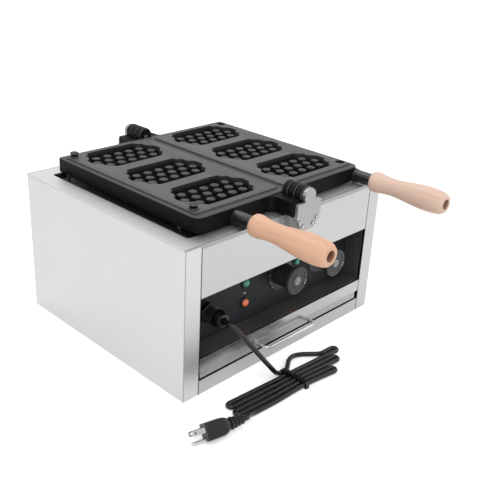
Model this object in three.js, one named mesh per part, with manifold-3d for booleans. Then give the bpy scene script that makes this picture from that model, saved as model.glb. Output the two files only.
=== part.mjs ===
// Commercial waffle maker: two hinged moulds lie open over a steel case.
// Millimetres, +X right, +Y back, +Z up. The origin is the middle of the case's underside.
import * as THREE from "three";
import { mergeVertices } from "three/addons/utils/BufferGeometryUtils.js";
import Module from "manifold-3d";

const wasm = await Module();
wasm.setup();

// Driving sizes of the case
const width = 400;
const depth = 350;
const height = 218;
const sheet = 1.2;
const gap = 0.3;
const overrun = 1;
const halfWidth = width / 2;
const front = -depth / 2;
const back = depth / 2;

const shell = { post: 26.4, rearFlange: 14, bend: 1.4, bendSteps: 2, lip: 5 };
const fascia = { bottom: height - 74, fold: 12 };
const rail = { top: 55, bottom: 36, lip: 3.5, foot: 9 };
const strip = { top: 21.5, fold: 14 };
const recess = { depth: 33, middle: (rail.top + fascia.bottom) / 2 };
const deck = { side: 26, front: 25.5, rear: 27.4, corner: 4 };
const well = { floor: height - 41, rim: 8, wallGap: 0.8 };
const vents = { count: 6, width: 60, tall: 4, pitch: 12, lowest: 60, middle: 90 };

// Hinge line and the moulds; distances along Y are from the moulds' middle
const hinge = { z: height + 28, middle: -5.5, radius: 12.5, pin: 4, play: 0.35, chamfer: 1.3, sides: 20 };
const knuckles = { inner: [151.5, 162], centre: [163.6, 174], outer: [175.6, 186.5] };
const tongue = {
  start: 187, thick: 5, head: 11.4, shoulder: 24, corner: 3, shoulderZ: height + 21, lowZ: height,
  foot: 15, footZ: height - 17, pinDeep: 3,
};
const block = {
  half: 18, bottom: height - 22, top: height - 2, base: 20, baseBottom: height - 52,
  baseTop: height - 1, plate: 1.8,
};
const bracketScrew = {
  head: 3.4, tall: 2, shank: 1.9, reach: 11, sides: 8, x: [17.3, 10.6], z: [height - 6, height - 12.6],
};

const mould = {
  faceDrop: 0.25, step: 2, bottom: height + 4.3, inner: 0.5, outer: 165, half: 150.5,
  faceInner: 5.5, faceOuter: 158.5, faceHalf: 139.8, faceCorner: 4,
  shoulder: 2.6, shoulderSteps: 2, frontCorner: 12, rearCorner: 5, wall: 5, web: 4.3,
};
const lug = { top: height + 24, outer: 29, clear: 13.6, bite: 4, fillet: 10, corner: 5, steps: 4 };
const cavity = {
  x: 82.5, first: -91, pitch: 94.5, count: 3, deep: 11, draft: 0.05, halfLong: 62, halfWide: 37,
};
// One quarter of the cavity's outline, as shares of its half length and half width
const cavityShares = [
  [0.677, 1], [0.726, 0.811], [0.839, 0.716], [0.847, 0.432], [0.96, 0.27], [1, 0.162],
];
const bump = {
  pitch: 20, row: 17.3, base: 7.5, top: 6.4, crown: 4.6, sides: 8, drop: 3, bevel: 1.3, sink: 0.6,
};
const bumpRows = [5, 6, 5];
const vent = { width: 1.6, deep: 1.2, aside: 8.5, bite: 4 };
const locator = {
  x: 149, y: [-126, 131], radius: 6.5, tall: 8, crown: 2, dome: 3.9, waist: 5.2, waistTall: 1.6,
  hole: 7.1, holeDeep: 9.5, spigot: 4, seat: 5, sides: 16,
};

// Handles: a round cast neck on each mould carries a turned wooden grip
const neck = {
  z: height + 11, radius: 9.5, root: 10.5, flare: 6, long: 30.3, bite: 4, collar: 12, collarThick: 2.2,
  sides: 16,
};
const handleX = { left: -97.3, right: 158.5 };
const grip = { long: 120.5, bore: 7, boreDeep: 30, rod: 4.3, sides: 18 };
// Turned profile of the grip: share of its length, then radius
const gripStations = { share: [0, 0.012, 0.06, 0.2, 0.32, 0.5, 0.66, 0.8, 0.9, 0.965, 1] };
const gripRadius = [13.6, 14.8, 15.2, 13.3, 12.9, 15, 17, 17.5, 16.8, 15.2, 12.5];
const bolt = { radius: 4, head: 6, headLong: 5, intoNeck: 14, tipGap: 1 };

// Controls in the recess
const knob = {
  x: [17, halfWidth - 94], z: recess.middle + 5.5, body: 17, rim: 21.5, rimLong: 9, hub: 6.5, hubLong: 2,
  sides: 24, bore: 3.4, boreDeep: 18,
};
const pointer = { width: 3, long: 15, proud: 1.6, start: 5 };
const dial = { radius: 26, thick: 1, hole: 9, sides: 32 };
const thermostat = { wide: 40, tall: 36, long: 34, shaft: 3, socket: 12, play: 0.5 };
const probe = {
  radius: 3, long: 30, tube: 1.2, z: height - 22, x: 82, tubeSides: 6, drop: 12, side: 26, play: 1.5,
};
const lamp = {
  x: [-58, 50], high: recess.middle + 15.5, low: recess.middle - 15.5, bezel: 8, proud: 2.5, lens: 5.8,
  lensTop: 4.6, lensRise: 2.1, dome: 3.5, body: 6, long: 26, sides: 14, play: 0.4,
};
const gland = {
  x: 68 - halfWidth, z: recess.middle - 2.5, hex: 15.5, hexLong: 8, dome: 13, domeLong: 22.6, taper: 9.5,
  long: 34.3, stub: 9, stubLong: 14, sides: 18,
};
const glandNut = { radius: 15, thick: 6, play: 0.4 };
const terminal = { z: recess.middle - 7.5, wide: 90, deep: 24, tall: 32, slot: 8, slotCount: 5, slotDeep: 9 };

// Heating
const element = {
  radius: 4, z: height - 13, x: [28, 64, 100, 136], half: 118, sides: 6, drop: 40, bend: 12, bendSteps: 4,
  turnSteps: 8,
};
const frame = { wide: 10, thick: 2, y: [-70, 70], foot: 10, spine: 6 };
// Rails in the well carry upright screws, and the moulds rest on the heads
const rest = {
  x: halfWidth - 40, thick: 1.5, low: height - 20, ledge: height - 7, inner: halfWidth - 52,
  front: -130, rear: 146, y: [-114, 131],
};
const restScrew = { head: 3.6, tall: 3.4, shank: 1.9, long: 16, play: 0.4, sides: 8 };

// Crumb tray, its runners and its wire handle
const tray = { x: -2.6, half: 168.6, bottom: 24.6, top: 35.4, deep: 312, wall: 1.2, setback: 0.5 };
const runner = { x: 120, wide: 24, clear: 0.4, wall: 1.5 };
const bow = {
  x: -4.1, wire: 2.6, half: 52.9, reach: 15, z: 29.6, bend: 9, bendSteps: 5, sides: 8, tail: 6, play: 0.35,
};

// Mains lead, its hank on the floor and its plug
const cord = { radius: 3.5, sides: 8, leadSteps: 18, tailSteps: 6 };
const lead = [
  [-129.8, -192.8, 95], [-121.3, -199.6, 82], [-109, -207.5, 63], [-97.5, -216, 45], [-85, -220.2, 28],
  [-76, -220.4, 17], [-67.5, -218.4, 9],
];
// The hank lies in one layer; its lanes are counted in half pitches from its middle line
const hank = {
  waistX: -54, waistY: -239.5, slant: 0.072, low: 5, pitch: 8.6, waistPitch: 7.7, waistLong: 70,
  start: -58, tips: [46, 28, 3], folds: [-160, -164], end: -150, sides: 6, foldSteps: 5, runStep: 15,
  bulge: 20, bulgeFrom: -50, bulgeTo: 23, bulgeEase: 1.3,
};
const tail = [[-163, -256.6, 8.4]];
const tie = { wide: 6, thick: 1.1, play: 0.8, low: 0.05, bevel: 3.5 };
const plug = {
  start: [-178.5, -261.5, 13.3], turn: 13.5, roll: 38, relief: 21, ribs: 4, rib: 5.8, ribGrowth: 0.8,
  ribShare: 0.6, core: 4.9, sides: 14, neck: 8.2, shoulder: 11.2, body: 34, half: 12.7, bevel: 2.5,
};
const blade = { aside: 6.35, side: 3.4, wide: 6.4, thick: 1.5, long: 17 };
const ground = { side: 8.4, radius: 2.4, long: 19.5, sides: 10 };

// Finishes
function finish(color, roughness, metalness) {
  return new THREE.MeshStandardMaterial({ color, roughness, metalness });
}
const steel = finish(0xd6d7d9, 0.35, 0.9);
const darkSheet = finish(0x2b2c2f, 0.6, 0.2);
const casting = finish(0x3a3b3d, 0.65, 0.3);
const chrome = finish(0xe6e6e8, 0.15, 1);
const wood = finish(0xe2b494, 0.6, 0);
const blackPlastic = finish(0x1c1c1e, 0.5, 0);
const greyPlastic = finish(0x4a4a4c, 0.5, 0);
const greenLens = finish(0x2b8a66, 0.3, 0);
const orangeLens = finish(0xd05a2c, 0.3, 0);
const rubber = finish(0x26262a, 0.6, 0);
const ceramic = finish(0xd9d4c6, 0.5, 0);
const heater = finish(0x5c564f, 0.6, 0.7);

const model = new THREE.Group();

const quarterTurn = Math.PI / 2;

/** Adds one named piece to the model. */
function piece(name, geometry, material) {
  const mesh = new THREE.Mesh(geometry, material);
  mesh.name = name;
  model.add(mesh);
  return mesh;
}

/** Turns a closed mesh into a solid that can be joined and cut. */
function solid(geometry) {
  const bare = geometry.clone();
  bare.deleteAttribute("normal");
  bare.deleteAttribute("uv");
  const merged = mergeVertices(bare, gap / 1000);
  return new wasm.Manifold(new wasm.Mesh({
    numProp: 3,
    vertProperties: new Float32Array(merged.attributes.position.array),
    triVerts: new Uint32Array(merged.index.array),
  }));
}

/** Turns a solid back into a mesh. */
function meshOf(body) {
  const mesh = body.getMesh();
  const geometry = new THREE.BufferGeometry();
  const points = [];
  for (let i = 0; i < mesh.vertProperties.length; i += mesh.numProp) {
    points.push(...mesh.vertProperties.slice(i, i + 3));
  }
  geometry.setAttribute("position", new THREE.Float32BufferAttribute(points, 3));
  geometry.setIndex(Array.from(mesh.triVerts));
  geometry.computeVertexNormals();
  return geometry;
}

/** Joins meshes into one body. */
function join(...parts) {
  return parts.map(solid).reduce((a, b) => a.add(b));
}

/** Takes meshes away from a body. */
function cut(body, ...parts) {
  return parts.map(solid).reduce((a, b) => a.subtract(b), body);
}

/** A block between two values on each axis. */
function slab(x0, x1, y0, y1, z0, z1) {
  const geometry = new THREE.BoxGeometry(Math.abs(x1 - x0), Math.abs(y1 - y0), Math.abs(z1 - z0));
  return geometry.translate((x0 + x1) / 2, (y0 + y1) / 2, (z0 + z1) / 2);
}

/** A shape from points [x, y]. */
function shapeOf(points) {
  return new THREE.Shape(points.map(([x, y]) => new THREE.Vector2(x, y)));
}

/** A rounded rectangle's points: one radius, or one for each of its four corners. */
function rounded(x0, x1, y0, y1, radii, steps = 3) {
  const [a, b, c, d] = Array.isArray(radii) ? radii : [radii, radii, radii, radii];
  const corners = [[x1 - a, y0 + a, a], [x1 - b, y1 - b, b], [x0 + c, y1 - c, c], [x0 + d, y0 + d, d]];
  const points = [];
  corners.forEach(([cx, cy, radius], k) => {
    for (let i = 0; i <= steps; i += 1) {
      const turn = (k - 1 + i / steps) * quarterTurn;
      points.push([cx + radius * Math.cos(turn), cy + radius * Math.sin(turn)]);
    }
  });
  return points;
}

/** A flat shape given a thickness along Z. */
function extruded(points, thickness) {
  return new THREE.ExtrudeGeometry(shapeOf(points), { depth: thickness, bevelEnabled: false });
}

/** An outline in the XY plane, raised from z0 to z1. */
function raise(points, z0, z1) {
  return extruded(points, z1 - z0).translate(0, 0, z0);
}

/** An outline in the XZ plane, pushed from y0 back to y1. */
function push(points, y0, y1) {
  return extruded(points, y1 - y0).rotateX(quarterTurn).translate(0, y1, 0);
}

/** A rod along Y. */
function rodY(x, z, radius, y0, y1, sides) {
  const geometry = new THREE.CylinderGeometry(radius, radius, Math.abs(y1 - y0), sides);
  return geometry.translate(x, (y0 + y1) / 2, z);
}

/** A rod along Y with bevelled ends. */
function barrelY(x, z, radius, y0, y1, bevel, sides) {
  const [near, far] = [Math.min(y0, y1), Math.max(y0, y1)];
  const profile = [[0, near], [radius - bevel, near], [radius, near + bevel], [radius, far - bevel],
    [radius - bevel, far], [0, far]];
  return turned(profile, sides).translate(x, 0, z);
}

/** A rod along Z. */
function rodZ(x, y, radius, z0, z1, sides) {
  const geometry = new THREE.CylinderGeometry(radius, radius, Math.abs(z1 - z0), sides);
  return geometry.rotateX(quarterTurn).translate(x, y, (z0 + z1) / 2);
}

/** A turned body: profile of [radius, distance along the axis]. */
function turned(profile, sides) {
  return new THREE.LatheGeometry(profile.map(([r, d]) => new THREE.Vector2(r, d)), sides);
}

/** A turned body whose axis runs from (x, y, z) towards the front. */
function turnedForward(profile, sides, x, y, z) {
  return turned(profile, sides).rotateX(Math.PI).translate(x, y, z);
}

/** A line through fixed stations, so that bends get close steps and straight runs few. */
class Stations extends THREE.Curve {
  constructor(points) {
    super();
    this.points = points;
  }

  getPoint(t, target = new THREE.Vector3()) {
    const place = t * (this.points.length - 1);
    const i = Math.min(Math.floor(place), this.points.length - 2);
    return target.lerpVectors(this.points[i], this.points[i + 1], place - i);
  }

  getTangent(t, target = new THREE.Vector3()) {
    const last = this.points.length - 1;
    const i = Math.round(t * last);
    const before = this.points[Math.max(i - 1, 0)];
    const after = this.points[Math.min(i + 1, last)];
    return target.subVectors(after, before).normalize();
  }

  getPointAt(t, target) {
    return this.getPoint(t, target);
  }

  getTangentAt(t, target) {
    return this.getTangent(t, target);
  }
}

/** A round tube of the given sides through the stations, closed at both ends. */
function tube(points, radius, sides) {
  const ring = [];
  for (let i = 0; i < sides; i += 1) {
    const a = (i + 0.5) / sides * 2 * Math.PI;
    ring.push([radius * Math.cos(a), radius * Math.sin(a)]);
  }
  const settings = { steps: points.length - 1, extrudePath: new Stations(points), bevelEnabled: false };
  return new THREE.ExtrudeGeometry(shapeOf(ring), settings);
}

/** Stations of a line with rounded corners. */
function roundedLine(corners, radius, steps) {
  const points = [corners[0].clone()];
  for (let i = 1; i < corners.length - 1; i += 1) {
    const from = corners[i - 1].clone().sub(corners[i]).normalize();
    const to = corners[i + 1].clone().sub(corners[i]).normalize();
    const reach = radius / Math.tan(from.angleTo(to) / 2);
    const start = corners[i].clone().addScaledVector(from, reach);
    const end = corners[i].clone().addScaledVector(to, reach);
    const middle = from.clone().add(to).normalize();
    const centre = corners[i].clone().addScaledVector(middle, radius / Math.sin(from.angleTo(to) / 2));
    const a = start.clone().sub(centre);
    const b = end.clone().sub(centre);
    const angle = a.angleTo(b);
    for (let k = 0; k <= steps; k += 1) {
      const turn = angle * k / steps;
      const arm = a.clone().multiplyScalar(Math.sin(angle - turn)).addScaledVector(b, Math.sin(turn));
      points.push(centre.clone().addScaledVector(arm, 1 / Math.sin(angle)));
    }
  }
  points.push(corners[corners.length - 1].clone());
  return points;
}

/** A closed skin through outlines of equal length, one per station. */
function loft(rings) {
  const count = rings[0].length;
  const positions = [];
  rings.forEach((ring) => ring.forEach((point) => positions.push(...point)));
  const index = [];
  for (let i = 0; i < rings.length - 1; i += 1) {
    for (let k = 0; k < count; k += 1) {
      const next = (k + 1) % count;
      const a = i * count + k;
      const b = i * count + next;
      index.push(a, b, b + count, a, b + count, a + count);
    }
  }
  const last = (rings.length - 1) * count;
  for (let k = 1; k < count - 1; k += 1) {
    index.push(0, k + 1, k, last, last + k, last + k + 1);
  }
  const geometry = new THREE.BufferGeometry();
  geometry.setAttribute("position", new THREE.Float32BufferAttribute(positions, 3));
  geometry.setIndex(index);
  return geometry;
}

/** Turns a closed skin's faces the other way round where they point inward. */
function outward(geometry) {
  const p = geometry.attributes.position;
  const order = geometry.index.array;
  const [a, b, c] = [new THREE.Vector3(), new THREE.Vector3(), new THREE.Vector3()];
  let volume = 0;
  for (let i = 0; i < order.length; i += 3) {
    a.fromBufferAttribute(p, order[i]);
    b.fromBufferAttribute(p, order[i + 1]);
    c.fromBufferAttribute(p, order[i + 2]);
    volume += a.dot(b.cross(c));
  }
  if (volume < 0) {
    for (let i = 0; i < order.length; i += 3) {
      [order[i + 1], order[i + 2]] = [order[i + 2], order[i + 1]];
    }
  }
  return geometry;
}

// Case
const deckUnder = height - sheet - gap;
const innerHalf = halfWidth - sheet - gap;
const postInner = halfWidth - shell.post;

/** One side: wall, front post and rear flange, folded from a sheet. */
function sidePanel(side) {
  const outline = [[postInner, front]];
  for (const [cy, from] of [[front + shell.bend, -1], [back - shell.bend, 0]]) {
    for (let i = 0; i <= shell.bendSteps; i += 1) {
      const a = (from + i / shell.bendSteps) * quarterTurn;
      outline.push([halfWidth - shell.bend * (1 - Math.cos(a)), cy + shell.bend * Math.sin(a)]);
    }
  }
  outline.push(
    [halfWidth - shell.rearFlange, back],
    [halfWidth - shell.rearFlange, back - sheet],
    [halfWidth - sheet, back - sheet],
    [halfWidth - sheet, front + sheet],
    [postInner, front + sheet],
  );
  return raise(outline.map(([x, y]) => [side * x, y]), 0, deckUnder);
}
piece("side_panel_left", sidePanel(-1), steel);
piece("side_panel_right", sidePanel(1), steel);

const backFace = back - sheet - gap;
const backInner = backFace - sheet;
const backCuts = [];
for (const side of [-1, 1]) {
  for (let i = 0; i < vents.count; i += 1) {
    const z = vents.lowest + i * vents.pitch;
    const x = side * vents.middle;
    const [y0, y1] = [backInner - overrun, backFace + overrun];
    backCuts.push(slab(x - vents.width / 2, x + vents.width / 2, y0, y1, z, z + vents.tall));
  }
}
const backBody = solid(slab(-innerHalf, innerHalf, backInner, backFace, sheet + gap, deckUnder));
piece("back_panel", meshOf(cut(backBody, ...backCuts)), steel);

const baseFront = front + sheet + gap;
const lipHalf = postInner - gap;
const runnerTop = tray.bottom - runner.clear;
const baseParts = [
  slab(-innerHalf, innerHalf, baseFront, backInner - gap, 0, sheet),
  slab(-lipHalf, lipHalf, front, front + sheet + overrun, 0, strip.top),
  slab(-lipHalf, lipHalf, front, front + strip.fold, strip.top - sheet, strip.top),
];
for (const side of [-1, 1]) {
  const near = front + strip.fold + overrun;
  const far = backInner - gap;
  const x = side * runner.x;
  baseParts.push(
    slab(x, x + side * runner.wall, near, far, sheet / 2, runnerTop),
    slab(x, x + side * runner.wide, near, far, runnerTop - runner.wall, runnerTop),
  );
}
piece("base_pan", meshOf(join(...baseParts)), steel);

const openX = halfWidth - deck.side;
const openFront = front + deck.front;
const openBack = back - deck.rear;
const deckBody = join(
  slab(-halfWidth, halfWidth, front, back, height - sheet, height),
  slab(-lipHalf, lipHalf, front, front + sheet, height - shell.lip, height - sheet / 2),
);
const deckOutline = rounded(-openX, openX, openFront, openBack, deck.corner);
const deckHole = raise(deckOutline, height - sheet - overrun, height + overrun);
piece("top_deck", meshOf(cut(deckBody, deckHole)), steel);

piece("front_fascia", meshOf(join(
  slab(-lipHalf, lipHalf, front, front + sheet, fascia.bottom, height - shell.lip - gap),
  slab(-lipHalf, lipHalf, front, front + fascia.fold, fascia.bottom, fascia.bottom + sheet),
)), steel);

piece("lower_rail", meshOf(join(
  slab(-lipHalf, lipHalf, front, front + sheet, rail.bottom, rail.top),
  slab(-lipHalf, lipHalf, front, front + rail.lip, rail.top - sheet, rail.top),
  slab(-lipHalf, lipHalf, front, front + rail.foot, rail.bottom, rail.bottom + sheet),
)), steel);

// Control recess
const panelFront = front + recess.depth;
const panelBack = panelFront + sheet;
const recessTop = fascia.bottom - gap;
const floorTop = rail.top - sheet / 2;
const floorUnder = floorTop - sheet;
const linerBack = panelFront - gap;
piece("recess_liner", meshOf(join(
  slab(-lipHalf, lipHalf, front + rail.lip + gap, linerBack, floorUnder, floorTop),
  slab(-lipHalf, -lipHalf + sheet, front + rail.lip + gap, linerBack, floorUnder, recessTop),
  slab(lipHalf - sheet, lipHalf, front + rail.lip + gap, linerBack, floorUnder, recessTop),
)), steel);

const lampPlaces = [];
for (const x of lamp.x) {
  lampPlaces.push([x, lamp.high], [x, lamp.low]);
}
/** A round hole right through the panel. */
function panelHole(x, z, radius, sides) {
  return rodY(x, z, radius, panelFront - overrun, panelBack + overrun, sides);
}
const panelCuts = [
  ...lampPlaces.map(([x, z]) => panelHole(x, z, lamp.body + lamp.play, lamp.sides)),
  ...knob.x.map((x) => panelHole(x, knob.z, thermostat.shaft + thermostat.play + gap, dial.sides / 2)),
  panelHole(gland.x, gland.z, gland.stub + glandNut.play, gland.sides),
];
const panelBody = solid(slab(-lipHalf, lipHalf, panelFront, panelBack, floorUnder, recessTop));
piece("control_panel", meshOf(cut(panelBody, ...panelCuts)), darkSheet);

// Heater well under the deck's opening
const wellX = openX + well.wallGap + sheet;
const wellFront = openFront - well.wallGap - sheet;
const wellBack = openBack + well.wallGap + sheet;
const wellCuts = [
  slab(-wellX + sheet, wellX - sheet, wellFront + sheet, wellBack - sheet, well.floor + sheet, height),
];
for (const side of [-1, 1]) {
  const floorHole = (x, y, radius) =>
    rodZ(side * x, y, radius, well.floor - overrun, well.floor + sheet + overrun, element.sides * 2);
  const limbY = hinge.middle - element.half;
  wellCuts.push(
    floorHole(element.x[0], limbY, element.radius + gap),
    floorHole(element.x[3], limbY, element.radius + gap),
    floorHole(probe.x, hinge.middle, probe.tube + probe.play),
  );
}
const wellRimX = wellX + well.rim;
const wellBody = join(
  slab(-wellX, wellX, wellFront, wellBack, well.floor, deckUnder),
  slab(-wellRimX, wellRimX, wellFront - well.rim, wellBack + well.rim, deckUnder - sheet, deckUnder),
);
piece("heater_well", meshOf(cut(wellBody, ...wellCuts)), darkSheet);

/** A tubular heating element: four limbs joined by hairpins, both ends turned down. */
function elementStations(side) {
  const near = hinge.middle - element.half;
  const far = hinge.middle + element.half;
  const radius = (element.x[1] - element.x[0]) / 2;
  const low = element.z - element.drop;
  const at = (x, y, z) => new THREE.Vector3(side * x, y, z);
  const points = [];
  const [firstX, lastX] = [element.x[0], element.x[element.x.length - 1]];
  const rise = [at(firstX, near, low), at(firstX, near, element.z), at(firstX, 0, element.z)];
  points.push(...roundedLine(rise, element.bend, element.bendSteps).slice(0, -1));
  for (let i = 0; i < element.x.length - 1; i += 1) {
    const centreX = (element.x[i] + element.x[i + 1]) / 2;
    const end = i % 2 === 0 ? far - radius : near + radius;
    const way = i % 2 === 0 ? 1 : -1;
    for (let k = 0; k <= element.turnSteps; k += 1) {
      const a = Math.PI * k / element.turnSteps;
      points.push(at(centreX - radius * Math.cos(a), end + way * radius * Math.sin(a), element.z));
    }
  }
  const drop = [at(lastX, 0, element.z), at(lastX, near, element.z), at(lastX, near, low)];
  points.push(...roundedLine(drop, element.bend, element.bendSteps).slice(1));
  return points;
}
piece("heating_element_left", tube(elementStations(-1), element.radius, element.sides), heater);
piece("heating_element_right", tube(elementStations(1), element.radius, element.sides), heater);

const footZ = well.floor + sheet + gap;
const seat = element.radius + gap;
const frameHalf = element.x[3] + frame.wide;
const footTop = footZ + frame.thick;
const [frameNear, frameFar] = frame.y.map((y) => hinge.middle + y);
const frameParts = [slab(-frame.spine, frame.spine, frameNear, frameFar, footZ, footTop)];
const seats = [];
for (const y of [frameNear, frameFar]) {
  const [y0, y1] = [y - frame.thick / 2, y + frame.thick / 2];
  frameParts.push(
    slab(-frameHalf, frameHalf, y0, y1, footZ, element.z + element.radius / 2),
    slab(-frameHalf, frameHalf, y0, y + frame.foot, footZ, footTop),
  );
  for (const side of [-1, 1]) {
    for (const limb of element.x) {
      const x = side * limb;
      seats.push(slab(x - seat, x + seat, y0 - overrun, y1 + overrun, element.z - seat, element.z + seat));
    }
  }
}
piece("element_frame", meshOf(cut(join(...frameParts), ...seats)), darkSheet);

for (const [name, side] of [["left", -1], ["right", 1]]) {
  const wall = wellX - sheet - gap;
  const y0 = hinge.middle + rest.front;
  const y1 = hinge.middle + rest.rear;
  const rail = join(
    slab(side * wall, side * (wall - rest.thick), y0, y1, rest.low, rest.ledge),
    slab(side * wall, side * rest.inner, y0, y1, rest.ledge - rest.thick, rest.ledge),
  );
  const x = side * rest.x;
  const top = mould.bottom - gap;
  const under = top - restScrew.tall;
  const hole = restScrew.shank + restScrew.play;
  const [holeLow, holeHigh] = [rest.ledge - rest.thick - overrun, rest.ledge + overrun];
  const holes = rest.y.map((y) => rodZ(x, hinge.middle + y, hole, holeLow, holeHigh, restScrew.sides));
  piece(`rest_rail_${name}`, meshOf(cut(rail, ...holes)), darkSheet);
  ["front", "rear"].forEach((end, i) => {
    const y = hinge.middle + rest.y[i];
    piece(`rest_screw_${name}_${end}`, meshOf(join(
      rodZ(x, y, restScrew.head, under, top, restScrew.sides),
      rodZ(x, y, restScrew.shank, top - restScrew.long, under + gap, restScrew.sides),
    )), darkSheet);
  });
}

// Thermostats, their probes, the terminal block and the pilot lamps
const dialBack = panelFront - gap;
const dialFront = dialBack - dial.thick;
const bodyFront = panelBack + gap;
const bodyBack = bodyFront + thermostat.long;
[["left", knob.x[0], -1], ["right", knob.x[1], 1]].forEach(([name, x, side]) => {
  piece(`dial_plate_${name}`, meshOf(cut(
    solid(rodY(x, knob.z, dial.radius, dialFront, dialBack, dial.sides)),
    rodY(x, knob.z, dial.hole, dialFront - overrun, dialBack + overrun, dial.sides / 2),
  )), greyPlastic);
  const socket = rodY(x, knob.z, thermostat.shaft + thermostat.play, bodyFront - overrun,
    bodyFront + thermostat.socket, dial.sides / 2);
  const body = slab(x - thermostat.wide / 2, x + thermostat.wide / 2, bodyFront, bodyBack,
    knob.z - thermostat.tall / 2, knob.z + thermostat.tall / 2);
  const start = new THREE.Vector3(x, bodyBack - overrun, knob.z);
  const turnAt = new THREE.Vector3(x, hinge.middle, knob.z);
  const aside = new THREE.Vector3(side * probe.x, hinge.middle, knob.z);
  const up = new THREE.Vector3(side * probe.x, hinge.middle, probe.z);
  const end = new THREE.Vector3(side * probe.x, hinge.middle + probe.side, probe.z);
  const line = roundedLine([start, turnAt, aside, up, end], probe.drop, element.bendSteps);
  const bulbEnd = end.y + probe.long;
  const bulb = rodY(side * probe.x, probe.z, probe.radius, end.y - overrun, bulbEnd, element.sides);
  const capillary = tube(line, probe.tube, probe.tubeSides);
  piece(`thermostat_${name}`, meshOf(cut(join(body, capillary, bulb), socket)), ceramic);
  const shaftBack = bodyFront + thermostat.socket - thermostat.play;
  const shaftFront = panelFront - knob.boreDeep;
  const shaft = rodY(x, knob.z, thermostat.shaft, shaftFront, shaftBack, dial.sides / 2);
  piece(`thermostat_shaft_${name}`, shaft, chrome);

  const knobBack = dialFront - gap;
  const knobFront = front;
  const knobBody = join(
    rodY(x, knob.z, knob.body, knobFront + knob.rimLong / 2, knobBack, knob.sides),
    rodY(x, knob.z, knob.rim, knobFront, knobFront + knob.rimLong, knob.sides),
    rodY(x, knob.z, knob.hub, knobFront - knob.hubLong, knobFront + overrun, knob.sides),
    slab(x - pointer.width / 2, x + pointer.width / 2, knobFront - pointer.proud, knobFront + overrun,
      knob.z + pointer.start, knob.z + pointer.start + pointer.long),
  );
  const bore = rodY(x, knob.z, knob.bore, knobBack - knob.boreDeep, knobBack + overrun, dial.sides / 2);
  piece(`dial_knob_${name}`, meshOf(cut(knobBody, bore)), blackPlastic);
});

const blockBack = backInner - gap;
const blockFront = blockBack - terminal.deep;
const terminalCuts = [];
const [terminalLow, terminalHigh] = [terminal.z, terminal.z + terminal.tall];
for (let i = 1; i <= terminal.slotCount; i += 1) {
  const x = terminal.wide * (i / (terminal.slotCount + 1) - 1 / 2);
  const [x0, x1] = [x - terminal.slot / 2, x + terminal.slot / 2];
  terminalCuts.push(slab(x0, x1, blockFront - overrun, blockFront + terminal.slotDeep,
    terminalLow - overrun, terminalHigh + overrun));
}
const terminalHalf = terminal.wide / 2;
piece("terminal_block", meshOf(cut(
  solid(slab(-terminalHalf, terminalHalf, blockFront, blockBack, terminalLow, terminalHigh)),
  ...terminalCuts,
)), ceramic);

lampPlaces.forEach(([x, z], i) => {
  const profile = [
    [0, -lamp.long], [lamp.body, -lamp.long], [lamp.body, gap], [lamp.bezel, gap],
    [lamp.bezel, lamp.proud], [lamp.lens, lamp.proud + gap], [lamp.lensTop, lamp.proud + lamp.lensRise],
    [0, lamp.proud + lamp.dome],
  ];
  const green = i % 2 === 0;
  const name = `pilot_lamp_${green ? "green" : "orange"}_${i < 2 ? "left" : "right"}`;
  piece(name, turnedForward(profile, lamp.sides, x, panelFront, z), green ? greenLens : orangeLens);
});

// Gland and its nut
const glandBack = panelFront - gap;
const glandFront = glandBack - gland.long;
const glandProfile = [
  [0, -gland.stubLong], [gland.stub, -gland.stubLong], [gland.stub, overrun], [gland.dome, overrun],
  [gland.dome, gland.domeLong], [gland.taper, gland.long], [0, gland.long],
];
piece("cord_gland", meshOf(join(
  turnedForward(glandProfile, gland.sides, gland.x, glandBack, gland.z),
  rodY(gland.x, gland.z, gland.hex, glandBack - gland.hexLong, glandBack, 6),
)), blackPlastic);
const nutFront = panelBack + gap;
const nutBack = nutFront + glandNut.thick;
const nutHole = gland.stub + glandNut.play;
piece("gland_nut", meshOf(cut(
  solid(rodY(gland.x, gland.z, glandNut.radius, nutFront, nutBack, 6)),
  rodY(gland.x, gland.z, nutHole, nutFront - overrun, nutBack + overrun, gland.sides),
)), blackPlastic);

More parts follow.
